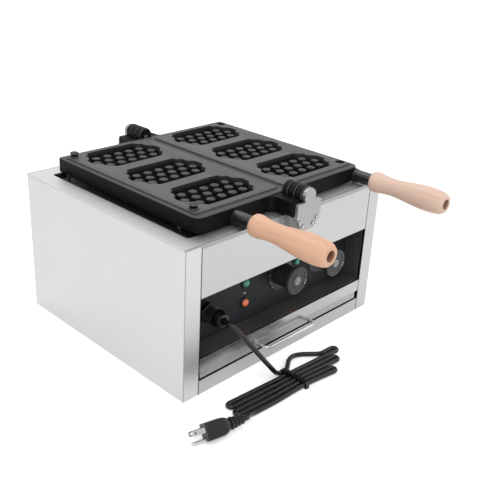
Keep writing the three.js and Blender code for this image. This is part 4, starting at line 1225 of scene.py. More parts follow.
@dataclass
class MouldHalf(SubAssembly):
    """One cast mould, drawn on the +X side and about the middle of the hinge.

    A profile's rows are radius, distance along the axis and, if any, share of wear and painted light.
    """

    side: Side
    handle_x: float
    middle: float = -5.5
    hinge_z: float = 246.0
    face: float = 245.75
    rim: float = 243.75
    bottom: float = 222.3
    inner: float = 0.5
    outer: float = 165.0
    half: float = 150.5
    face_inner: float = 5.5
    face_outer: float = 158.5
    face_half: float = 139.8
    face_corner: float = 4.0
    shoulder: float = 2.6
    worn_shoulder: float = 0.55
    shoulder_wear: float = 0.6
    foot_round: float = 0.9
    chamfer: float = 0.5
    front_corner: float = 12.0
    rear_corner: float = 5.0
    wall: float = 5.0
    pocket_top: float = 230.45
    pocket_corner: float = 4.0
    pocket_draft: Point = (0.99, 0.985, 1.0)
    cavity_x: float = 82.5
    cavity_y: tuple[float, ...] = (-91.0, 3.5, 98.0)
    cavity_deep: float = 11.0
    lip_flare: float = 1.012
    lip_wear: float = 0.8
    draft: float = 0.05
    half_long: float = 62.0
    half_wide: float = 37.0
    shares: tuple[Flat, ...] = (
        (1.0, 0.162), (0.96, 0.27), (0.847, 0.432), (0.839, 0.716), (0.726, 0.811), (0.677, 1.0),
    )
    bump_rows: tuple[int, ...] = (5, 6, 5)
    bump_pitch: float = 20.0
    bump_row: float = 17.3
    bump_foot: float = 7.5
    bump_fillet: float = 0.9
    bump_neck: float = 6.4
    bump_drop: float = 3.0
    vent_x: Flat = (144.2, 157.3)
    vent_aside: float = 8.5
    vent_half: float = 0.8
    vent_deep: float = 1.2
    pin_x: float = 149.0
    pin_y: Flat = (-126.0, 131.0)
    pin_hole: float = 7.1
    pin_hole_deep: float = 9.5
    knuckle: float = 12.5
    knuckle_bore: float = 4.35
    lug_top: float = 242.0
    lug_bottom: float = 222.5
    lug_outer: float = 29.0
    lug_clear: float = 13.6
    lug_bite: float = 4.0
    lug_fillet: float = 10.0
    lug_corner: float = 5.0
    knuckles_left: tuple[Flat, ...] = ((151.5, 162.0), (175.6, 186.5))
    knuckles_right: tuple[Flat, ...] = ((163.6, 174.0),)
    neck_z: float = 229.0
    # The third column marks the collar's painted highlight ring, together with wear.
    neck_profile: Profile = (
        (0.0, -5.0), (10.5, -5.0), (10.5, 0.0), (10.1, 1.6), (9.7, 3.6), (9.5, 6.0), (9.5, 28.8),
        (9.7, 29.8), (10.2, 30.3), (11.4, 30.3, 0.5), (11.9, 30.6, 0.9), (12.0, 31.0, 0.3),
        (12.0, 31.8, 0.3), (11.9, 32.2, 0.9), (11.4, 32.5, 0.5), (0.0, 32.5),
    )
    # The third column marks painted highlights on the button's edges, together with wear.
    pin_profile: Profile = (
        (0.0, 0.1), (6.5, 0.1, 0.2), (6.5, 1.1, 0.6), (6.1, 1.6, 0.6), (5.4, 1.9), (5.2, 2.4),
        (5.2, 3.9), (5.5, 4.6), (6.3, 5.4, 0.3), (6.5, 6.0, 0.8), (6.3, 6.6, 0.8), (5.6, 7.2, 0.5),
        (4.6, 7.6, 0.4), (3.0, 7.9, 0.4), (0.0, 8.0, 0.4),
    )

    def at(self, x: float, y: float, z: float) -> Point:
        """A place on this mould.

        Args:
            x: Distance from the hinge line.
            y: Distance from the hinge's middle.
            z: Height.

        Returns:
            The place in the row frame.
        """
        return (x * self.side.value, y + self.middle, z)

    def level(self, outline: Iterable[Flat], z: float) -> list[Point]:
        """An outline at a height.

        Args:
            outline: The outline.
            z: The height.

        Returns:
            Its places.
        """
        return [self.at(x, y, z) for x, y in outline]

    def _body(self, form: Former) -> tuple[Edges, Edges]:
        """The block with its round corners and shoulder, open above and below.

        Args:
            form: The mesh that it joins.

        Returns:
            The edges of the open top and of the open bottom.
        """
        bm = form.bm
        low = self.at(self.inner, -self.half, self.bottom)
        form.block(low, self.at(self.outer, self.half, self.rim))
        tall = in_plane(bm.edges, 0, self.outer * self.side.value)
        tall = [e for e in tall if abs(e.verts[0].co.z - e.verts[1].co.z) > MM]
        bevel = {"affect": "EDGES", "profile": 0.5, "material": -1, "clamp_overlap": True}
        front = [e for e in tall if e.verts[0].co.y < self.middle * MM]
        rear = [e for e in tall if e.verts[0].co.y > self.middle * MM]
        bmesh.ops.bevel(bm, geom=front, offset=self.front_corner * MM, segments=7, **bevel)
        bmesh.ops.bevel(bm, geom=rear, offset=self.rear_corner * MM, segments=5, **bevel)
        top = in_plane(bm.edges, 2, self.rim)
        inner = in_plane(top, 0, self.inner * self.side.value)
        top = [e for e in top if e not in inner]
        bmesh.ops.bevel(bm, geom=top, offset=self.shoulder * MM, segments=7, **bevel)
        foot = in_plane(bm.edges, 2, self.bottom)
        bmesh.ops.bevel(bm, geom=foot, offset=self.foot_round * MM, segments=2, **bevel)
        caps = [f for f in bm.faces if abs(f.normal.z) > 0.999 and f.calc_area() > 0.01]
        bmesh.ops.delete(bm, geom=caps, context="FACES_ONLY")
        # The top of the shoulder is marked: real wear together with painted top light.
        for vert in bm.verts:
            if vert.co.z > (self.rim - self.shoulder * self.worn_shoulder) * MM:
                vert[form.wear] = self.shoulder_wear
        open_edges = [e for e in bm.edges if e.is_boundary]
        split = (self.rim + self.bottom) / 2 * MM
        above = [e for e in open_edges if e.verts[0].co.z > split]
        return above, [e for e in open_edges if e.verts[0].co.z < split]

    def _fluted(self, cy: float) -> list[Flat]:
        """A cavity's stepped, fluted outline.

        Args:
            cy: Its middle along the hinge.

        Returns:
            The outline.
        """
        quarter = [(u * self.half_long, v * self.half_wide) for u, v in self.shares]
        ring = quarter + [(-u, v) for u, v in reversed(quarter)]
        ring += [(-u, -v) for u, v in ring]
        return [(x + self.cavity_x, y + cy) for x, y in cut_corners(ring, 1, 0.1)]

    def _cavity(self, form: Former, cy: float) -> Edges:
        """One cavity: lip marked with wear and painted light, drafted wall, floor and batter bumps with
        painted top light.

        Args:
            form: The mesh that it joins.
            cy: Its middle along the hinge.

        Returns:
            The ring of its mouth.
        """
        floor = self.face - self.cavity_deep
        about = self.at(self.cavity_x, cy, self.face)
        mouth = form.ring(self.level(self._fluted(cy), self.face), self.lip_wear)
        flare = self.lip_flare
        bmesh.ops.scale(
            form.bm,
            vec=(flare, flare, 1.0),
            space=Matrix.Translation(-Vector(about) * MM),
            verts=list({v for e in mouth for v in e.verts}),
        )
        ring = mouth
        for share, drop, wear in (
            (1.0 / flare, 0.5, 0.1), (1.0 - self.draft * 0.8, self.cavity_deep - 2.9, 0.0),
            (0.993, 1.3, 0.0), (0.983, 0.8, 0.0), (0.975, 0.3, 0.0),
        ):
            ring = form.draw(ring, (0.0, 0.0, -drop), (share, share, 1.0), wear, about)
        feet = []
        top = self.face - self.bump_drop
        for row, count in enumerate(self.bump_rows):
            for k in range(count):
                bx = self.cavity_x + (k - (count - 1) / 2) * self.bump_pitch
                by = cy + (row - 1) * self.bump_row
                place = Matrix.Translation(self.at(bx, by, floor))
                radius, height = self.bump_foot + self.bump_fillet, floor
                edge = form.circle(radius, 20, place)
                feet.append(edge)
                # The bump tops are marked: painted top light together with wear.
                for wide, z, wear in (
                    (self.bump_foot + 0.2, floor + 0.4, 0.0),
                    (self.bump_foot - 0.15, floor + 1.3, 0.0),
                    (self.bump_neck, top - 1.3, 0.0), (self.bump_neck - 0.45, top - 0.5, 0.3),
                    (self.bump_neck - 1.3, top - 0.08, 0.5),
                    (self.bump_neck - 4.0, top + 0.1, 0.45),
                ):
                    grow = wide / radius
                    edge = form.draw(edge, (0.0, 0.0, z - height), (grow, grow, 1.0), wear)
                    radius, height = wide, z
                form.fill(edge)
        form.fill(ring, *feet)
        return mouth

    def _pin_hole(self, form: Former, y: float) -> Edges:
        """A blind hole for the other mould's locating pin.

        Args:
            form: The mesh that it joins.
            y: Its place along the hinge.

        Returns:
            The ring of its mouth.
        """
        place = Matrix.Translation(self.at(self.pin_x, y, self.face))
        wide = self.pin_hole + self.chamfer
        share = self.pin_hole / wide
        mouth = form.circle(wide, 28, place, self.lip_wear)
        wall = form.draw(mouth, (0.0, 0.0, -self.chamfer), (share, share, 1.0), 0.3)
        form.fill(form.draw(wall, (0.0, 0.0, self.chamfer - self.pin_hole_deep)))
        return mouth

    def _vents(self, form: Former) -> None:
        """Cuts a steam groove in the land beside each cavity.

        Args:
            form: The mesh whose land is filled.
        """
        bm, face = form.bm, self.face * MM
        x0, x1 = sorted(x * self.side.value for x in self.vent_x)
        wide = 2 * self.vent_half
        starts = [self.middle + cy + self.vent_aside - self.vent_half for cy in self.cavity_y]
        cuts = [(0, x0), (0, x1)] + [(1, y) for y0 in starts for y in (y0, y0 + wide)]
        for axis, value in cuts:
            land = [f for f in bm.faces if all(abs(v.co.z - face) < SAME for v in f.verts)]
            across = Vector((1.0, 0.0, 0.0)) if axis == 0 else Vector((0.0, 1.0, 0.0))
            parts = land + list({e for f in land for e in f.edges})
            parts += list({v for f in land for v in f.verts})
            at = across * value * MM
            bmesh.ops.bisect_plane(bm, geom=parts, dist=SAME, plane_co=at, plane_no=across)
        for y0 in starts:
            groove = []
            for one in bm.faces:
                middle = one.calc_center_median() / MM
                flat = all(abs(v.co.z - face) < SAME for v in one.verts)
                if flat and x0 < middle.x < x1 and y0 < middle.y < y0 + wide:
                    groove.append(one)
            sunk = bmesh.ops.extrude_face_region(bm, geom=groove)["geom"]
            floor = picked(sunk, bmesh.types.BMVert)
            bmesh.ops.translate(bm, vec=(0.0, 0.0, -self.vent_deep * MM), verts=floor)

    def _pockets(self, form: Former) -> list[Edges]:
        """Three hollows under the block, between its ribs.

        Args:
            form: The mesh that they join.

        Returns:
            The rings of their mouths.
        """
        pitch = (2 * self.half - self.wall) / 3
        mouths = []
        for i in range(3):
            y0 = -self.half + self.wall + i * pitch
            low = (self.inner + self.wall, y0)
            high = (self.outer - self.wall, y0 + pitch - self.wall)
            outline = rounded(low, high, self.pocket_corner)
            mouth = form.ring(self.level(outline, self.bottom))
            wall = form.draw(mouth, (0.0, 0.0, self.pocket_top - self.bottom), self.pocket_draft)
            form.fill(wall)
            mouths.append(mouth)
        return mouths

    def plate(self) -> bpy.types.Object:
        """The cast block with its cavities.

        Returns:
            The piece.
        """
        form = Former(self.paint, f"mould_plate_{self.side.word}")
        above, below = self._body(form)
        outline = rounded(
            (self.face_inner, -self.face_half), (self.face_outer, self.face_half), self.face_corner
        )
        # The raised face, its land and the cavity lips are marked: real wear together with painted top
        # light.
        foot = form.ring(self.level(outline, self.rim), 0.5)
        form.fill(above, foot)
        rise = self.face - self.rim - self.chamfer
        wall = form.draw(foot, (0.0, 0.0, rise), (0.998, 0.999, 1.0), 0.5)
        land = form.draw(wall, (0.0, 0.0, self.chamfer), (0.994, 0.9965, 1.0), 0.7)
        mouths = [self._cavity(form, cy) for cy in self.cavity_y]
        if self.side is Side.RIGHT:
            mouths += [self._pin_hole(form, y) for y in self.pin_y]
        form.fill(land, *mouths)
        self._vents(form)
        form.fill(below, *self._pockets(form))
        return form.finish(Look.IRON_COAT, self.side.body, [f"mould_{self.side.word}"], 40.0)

    def _arm_plan(self, end: int, reach: float) -> list[Flat]:
        """Plan of a hinge arm, filleted into the block's end wall and round at its free corner.

        Args:
            end: -1 at the front, 1 at the rear.
            reach: How far it reaches along the hinge.

        Returns:
            The outline.
        """
        wall, outer, fillet, corner = self.half, self.lug_outer, self.lug_fillet, self.lug_corner
        plan = [(self.lug_clear, wall - self.lug_bite), (outer + fillet, wall - self.lug_bite)]
        plan += arc((outer + fillet, wall + fillet), fillet, 270, 180, 10)
        plan += arc((outer - corner, reach - corner), corner, 0, 90, 8)
        plan.append((self.lug_clear, reach))
        return [(x, end * y) for x, y in plan]

    def lugs(self) -> bpy.types.Object:
        """The hinge knuckles and the arms that carry them.

        Returns:
            The piece.
        """
        mine = self.knuckles_left if self.side is Side.LEFT else self.knuckles_right
        form = Former(self.paint, f"hinge_lugs_{self.side.word}")
        bore, rim = self.knuckle_bore, self.knuckle
        for end in (-1, 1):
            plan = form.ring(self.level(self._arm_plan(end, mine[-1][1]), self.lug_bottom))
            form.thicken(form.fill(plan), (0.0, 0.0, self.lug_top - self.lug_bottom))
            for start, stop in mine:
                form.block(
                    self.at(0.6, end * start, self.hinge_z - rim + 0.2),
                    self.at(self.lug_clear + 2.0, end * stop, self.lug_top - 0.5),
                )
                half = (stop - start) / 2
                # The knuckle rims are marked: painted highlights on their edges together with wear.
                rise = [
                    (bore, 0.4 - half), (bore + 0.5, -half), (rim - 1.6, -half),
                    (rim - 1.2, 0.15 - half, 0.05), (rim - 0.15, 1.2 - half, 0.75),
                    (rim, 1.6 - half, 0.05),
                ]
                fall = [(radius, -along, *wear) for radius, along, *wear in reversed(rise)]
                place = facing_front(*self.at(0.0, end * (start + stop) / 2, self.hinge_z))
                form.turn([*rise, *fall, rise[0]], 44, place)
        return form.finish(Look.IRON_COAT, self.side.body, bevel=0.7, smooth=30.0)

    def neck(self) -> bpy.types.Object:
        """The cast neck that runs from the block to the grip, and its collar.

        Returns:
            The piece.
        """
        form = Former(self.paint, f"handle_neck_{self.side.word}")
        place = facing_front(*self.at(self.handle_x, -self.half, self.neck_z))
        form.turn(self.neck_profile, 48, place)
        return form.finish(Look.NECK_COAT, self.side.body, smooth=40.0)

    def pins(self) -> None:
        """The two button-headed locating pins of the left mould."""
        for word, y in zip(("front", "rear"), self.pin_y):
            form = Former(self.paint, f"button_pin_{word}")
            form.turn(self.pin_profile, 36, Matrix.Translation(self.at(self.pin_x, y, self.face)))
            node = f"locating_pin_{word}"
            form.finish(Look.IRON_COAT, self.side.body, [node], 50.0, slot="bright_metal")

    def build(self) -> None:
        """Makes every piece of this mould."""
        self.plate()
        self.lugs()
        self.neck()
        if self.side is Side.LEFT:
            self.pins()


@dataclass
class HandleGrip(SubAssembly):
    """One turned wooden grip on its mould's neck."""

    side: Side
    x: float
    back: float = -188.8
    length: float = 120.5
    z: float = 229.0
    bore: float = 7.0
    bore_deep: float = 30.0
    rod: float = 4.3
    share: tuple[float, ...] = (0.0, 0.012, 0.06, 0.2, 0.32, 0.5, 0.66, 0.8, 0.9, 0.965, 1.0)
    radius: tuple[float, ...] = (13.6, 14.8, 15.2, 13.3, 12.9, 15.0, 17.0, 17.5, 16.8, 15.2, 12.5)

    def build(self) -> None:
        """Turns the grip."""
        line = [Vector((r, t * self.length, 0.0)) for t, r in zip(self.share, self.radius)]
        outside = [(p.x, min(max(p.y, 0.0), self.length)) for p in flowing(line, 3.5)]
        deep = self.length - self.bore_deep
        profile = [
            (self.rod, 0.0),
            *outside,
            # The third column darkens the end and the bore towards the pore colour: painted shade in
            # the bore.
            (self.bore + 3.2, self.length + 0.1, 0.0), (self.bore + 2.6, self.length + 0.7, 0.1),
            (self.bore + 1.4, self.length + 0.9, 0.1), (self.bore + 0.4, self.length + 0.5, 0.2),
            (self.bore, self.length - 1.2, 0.8), (self.bore, deep, 1.0), (self.rod, deep, 1.0),
            (self.rod, 0.0, 1.0),
        ]
        form = Former(self.paint, f"turned_grip_{self.side.word}")
        form.turn(profile, 56, facing_front(self.x, self.back, self.z))
        wood = Wood.SALMON if self.side is Side.LEFT else Wood.PALE
        form.finish(wood, self.side.body, [f"grip_{self.side.word}"], 40.0)


@dataclass
class ControlRecess(SubAssembly):
    """Knobs, dial plates, pilot lamps and the cord gland."""

    panel: float = -142.0
    front: float = -175.0
    knob_x: Flat = (17.0, 106.0)
    knob_z: float = 105.0
    knob_body: float = 17.0
    knob_rim: float = 21.5
    rim_long: float = 9.0
    hub: float = 6.5
    plate: float = 26.0
    plate_thick: float = 1.0
    plate_bore: float = 6.5
    shaft: float = 3.4
    gap: float = 0.3
    lamp_x: Flat = (-58.0, 50.0)
    lamp_z: Flat = (115.0, 84.0)
    bezel: float = 8.0
    lens: float = 5.8
    dome_foot: float = 2.4
    dome_high: float = 3.4
    gland_x: float = -132.0
    gland_z: float = 97.0
    gland_ribs: int = 6
    ticks: int = 11
    dial_swing: float = 270.0
    notch_turns: tuple[int, ...] = (-75, -60, -45, -30)
    pointer_turns: tuple[int, ...] = (-14, -26)

    def knob(self, word: str, x: float, body: Body) -> None:
        """One dial knob: disc, slotted hub, dark blocks of painted shade in a groove, and two pale
        marks on the rim.

        Args:
            word: Left or right.
            x: Its place across.
            body: Its body.
        """
        back = self.panel - 2 * self.gap - self.plate_thick
        long = back - self.front
        rim = self.knob_rim
        place = facing_front(x, back, self.knob_z)
        disc = Former(self.paint, f"knob_disc_{word}")
        disc.turn(
            [
                (self.shaft, 0.0), (self.knob_body - 0.6, 0.0), (self.knob_body, 0.6),
                (self.knob_body - 1.2, long - self.rim_long - 3.0),
                (self.knob_body - 0.6, long - self.rim_long - 1.0),
                (rim - 2.2, long - self.rim_long + 1.2), (rim - 0.5, long - self.rim_long + 2.2),
                (rim, long - self.rim_long + 3.4), (rim, long - 1.4), (rim - 0.35, long - 0.5),
                (rim - 1.2, long), (rim - 4.0, long), (rim - 4.8, long - 0.7),
                (self.hub + 5.4, long - 0.9), (self.hub + 4.4, long - 0.2), (self.hub, long - 0.2),
                (self.shaft, long - 0.6), (self.shaft, 0.0),
            ],
            72,
            place,
        )
        disc.finish(Look.KNOB_PLASTIC, body, [f"dial_knob_{word}"])
        hub = Former(self.paint, f"knob_hub_{word}")
        hub.turn(
            [
                (0.0, long - 1.0), (6.3, long - 1.0), (6.3, long + 0.2), (5.8, long + 0.7),
                (4.7, long + 0.7), (4.2, long + 0.2), (3.5, long + 0.2), (3.2, long + 0.9),
                (2.6, long + 1.2),
            ],
            36,
            place,
        )
        hub.score(((2.2, -0.45), (2.2, 0.45), (-2.2, 0.45), (-2.2, -0.45)), place, long + 1.2, 0.9)
        hub.finish(Look.HUB_PLASTIC, body, smooth=40.0)
        # Dark blocks standing in for painted shade in a groove between hub and rim.
        shade = Former(self.paint, f"knob_notch_{word}")
        for turn in self.notch_turns:
            stand = place @ Matrix.Rotation(math.radians(turn), 4, "Z")
            shade.block((8.6, -1.6, long - 1.2), (11.8, 1.6, long - 0.75), stand)
        shade.finish(Look.GLAND_PLASTIC, body)
        # Two pale marks on the rim.
        line = Former(self.paint, f"knob_pointer_{word}")
        for turn in self.pointer_turns:
            stand = place @ Matrix.Rotation(math.radians(turn), 4, "Z")
            line.block((rim - 4.4, -0.8, long - 1.0), (rim - 1.2, 0.8, long + 0.2), stand)
        line.finish(Look.PRINT, body, bevel=0.2, slot="black_plastic")

    def dial(self, word: str, x: float) -> None:
        """The plate behind a knob, with its ticks.

        Args:
            word: Left or right.
            x: Its place across.
        """
        back = self.panel - self.gap
        plate = Former(self.paint, f"dial_flange_{word}")
        plate.turn(
            [
                (self.plate_bore, 0.0), (self.plate, 0.0), (self.plate, 0.5),
                (self.plate - 0.5, self.plate_thick), (self.plate_bore, self.plate_thick),
                (self.plate_bore, 0.0),
            ],
            64,
            facing_front(x, back, self.knob_z),
        )
        plate.finish(Look.FLANGE_PLATE, Body.CASE, [f"dial_plate_{word}"])
        marks = Former(self.paint, f"dial_ticks_{word}")
        for i in range(self.ticks):
            angle = 90 + self.dial_swing * (0.5 - i / (self.ticks - 1))
            turn = Matrix.Rotation(math.radians(angle), 4, "Z")
            place = facing_front(x, back - self.plate_thick, self.knob_z) @ turn
            marks.block((self.plate - 2.8, -0.35, -0.05), (self.plate - 0.9, 0.35, 0.08), place)
        marks.finish(Look.PRINT, Body.CASE)

    def mark(self, word: str, x: float) -> None:
        """The short pale dash between two pilot lamps.

        Args:
            word: Left or right.
            x: Its middle across.
        """
        form = Former(self.paint, f"lamp_dash_{word}")
        z = sum(self.lamp_z) / 2 - 1.0
        form.block((x - 2.6, self.panel - 0.12, z - 0.9), (x + 2.6, self.panel + 0.1, z + 0.9))
        form.finish(Look.PRINT, Body.CASE)

    def lamp(self, name: str, x: float, z: float, look: Look) -> None:
        """One pilot lamp: dark bezel and faceted dome.

        Args:
            name: The CAD node that it stands for.
            x: Its place across.
            z: Its height.
            look: The lens's finish.
        """
        place = facing_front(x, self.panel, z)
        ring = Former(self.paint, f"{name}_bezel")
        ring.turn(
            [
                (self.lens + 0.1, 0.4), (self.bezel, 0.4), (self.bezel, 1.6), (self.bezel - 0.6, 2.3),
                (self.lens + 0.6, 2.5), (self.lens + 0.1, 2.1), (self.lens + 0.1, 0.4),
            ],
            40,
            place,
        )
        ring.finish(Look.BLACK_PLASTIC, Body.CASE, slot=look.value.slot)
        dome = Former(self.paint, f"{name}_lens")
        crown = [
            (self.lens * math.cos(turn), self.dome_foot + self.dome_high * math.sin(turn))
            for turn in (math.pi / 10 * i for i in range(5))
        ]
        top = self.dome_foot + self.dome_high
        dome.turn([(0.0, 0.5), (self.lens, 0.5), *crown, (0.0, top)], 12, place)
        dome.finish(look, Body.CASE, [name], 12.0)

    def gland(self) -> None:
        """The cord gland: hexagon, ribbed dome and tapered nose."""
        place = facing_front(self.gland_x, self.panel - self.gap, self.gland_z)
        form = Former(self.paint, "ribbed_cord_gland")
        hexagon = form.circle(15.0, 6, place)
        form.fill(hexagon)
        ring = form.draw(hexagon, (0.0, -0.5, 0.0), (1.033, 1.0, 1.033))
        ring = form.draw(ring, (0.0, -6.7, 0.0))
        form.fill(form.draw(ring, (0.0, -0.8, 0.0), (0.94, 1.0, 0.94)))
        profile: list[Flat] = [(5.2, 7.0), (12.4, 7.0)]
        for i in range(self.gland_ribs):
            along = 8.8 + 2.2 * i
            profile += [(12.5, along - 0.3), (13.0, along), (13.0, along + 1.1), (12.5, along + 1.4)]
        profile += [(12.8, 22.4), (12.2, 25.0), (11.0, 29.0), (9.9, 33.0), (9.4, 34.2), (5.2, 34.3)]
        form.turn([*profile, profile[0]], 48, place)
        form.turn([(4.6, -16.0), (9.0, -16.0), (9.0, 0.5), (4.6, 0.5), (4.6, -16.0)], 32, place)
        form.finish(Look.GLAND_PLASTIC, Body.CASE, ["cord_gland"], 32.0)

    def build(self) -> None:
        """Makes everything in the recess."""
        for word, x, body in zip(("left", "right"), self.knob_x, (Body.KNOB_LEFT, Body.KNOB_RIGHT)):
            self.knob(word, x, body)
            self.dial(word, x)
        for word, x in zip(("left", "right"), self.lamp_x):
            self.mark(word, x)
            self.lamp(f"pilot_lamp_green_{word}", x, self.lamp_z[0], Look.GREEN_LENS)
            self.lamp(f"pilot_lamp_orange_{word}", x, self.lamp_z[1], Look.ORANGE_LENS)
        self.gland()


@dataclass
class ScrewSet(SubAssembly):
    """The bracket's and the rests' screws, with crossed slots.

    A size is the head's radius and height and the shank's length. The slot's sizes are shares of the
    head's own.
    """

    bracket_x: Flat = (17.3, 10.6)
    bracket_y: float = -197.8
    bracket_z: Flat = (212.0, 205.4)
    bracket_size: Point = (3.4, 2.0, 10.5)
    rest_x: float = 160.0
    rest_y: Flat = (-119.5, 125.5)
    rest_z: float = 218.6
    rest_size: Point = (3.6, 3.4, 12.6)
    shank: float = 1.9
    crown: float = 0.58
    slot_long: float = 0.82
    slot_wide: float = 0.26
    slot_deep: float = 0.55

    def screw(self, name: str, place: Matrix, size: Point, look: Look) -> None:
        """One screw with a domed head and a crossed slot.

        Args:
            name: The CAD node that it stands for.
            place: Where the head's underside lies, in millimetres.
            size: Radius of the head, its height and the shank's length.
            look: Its finish.
        """
        radius, tall, deep = size
        form = Former(self.paint, f"{name}_cross_head")
        crown = radius * self.crown
        profile = [(0.0, -deep), (self.shank, -deep), (self.shank, 0.0), (radius, 0.0)]
        profile += [(radius, tall * 0.35), (radius * 0.9, tall * 0.7), (crown, tall)]
        form.turn(profile, 24, place)
        u, v = crown * self.slot_long, crown * self.slot_wide
        cross = [(u, -v), (u, v), (v, v), (v, u), (-v, u), (-v, v)]
        form.score([*cross, *((-a, -b) for a, b in cross)], place, tall, tall * self.slot_deep)
        form.finish(look, Body.CASE, [name])

    def build(self) -> None:
        """Makes every screw."""
        for side in Side:
            for word, x, z in zip(("upper", "lower"), self.bracket_x, self.bracket_z):
                place = facing_front(side.value * x, self.bracket_y, z)
                name = f"bracket_screw_{side.word}_{word}"
                self.screw(name, place, self.bracket_size, Look.SCREW_STEEL)
        for side in Side:
            for word, y in zip(("front", "rear"), self.rest_y):
                place = Matrix.Translation((side.value * self.rest_x, y, self.rest_z))
                # The rest screws take the well's near-black: painted shade.
                self.screw(f"rest_screw_{side.word}_{word}", place, self.rest_size, Look.WELL_COAT)


@dataclass
class TrayBow(SubAssembly):
    """The bent wire handle of the crumb tray."""

    left: float = -57.0
    right: float = 48.8
    root: float = -167.3
    front: float = -189.5
    z: float = 29.6
    wire: float = 2.6
    bend: float = 9.0
    steps: int = 10

    def build(self) -> None:
        """Bends the wire."""
        inner = self.front + self.bend
        line = [(self.left, self.root)]
        line += arc((self.left + self.bend, inner), self.bend, 180, 270, self.steps)
        line += arc((self.right - self.bend, inner), self.bend, 270, 360, self.steps)
        line.append((self.right, self.root))
        form = Former(self.paint, "bent_wire_bow")
        form.tube([Vector((x, y, self.z)) for x, y in line], self.wire, 18)
        form.finish(Look.CHROME, Body.TRAY, ["tray_handle"], 50.0)


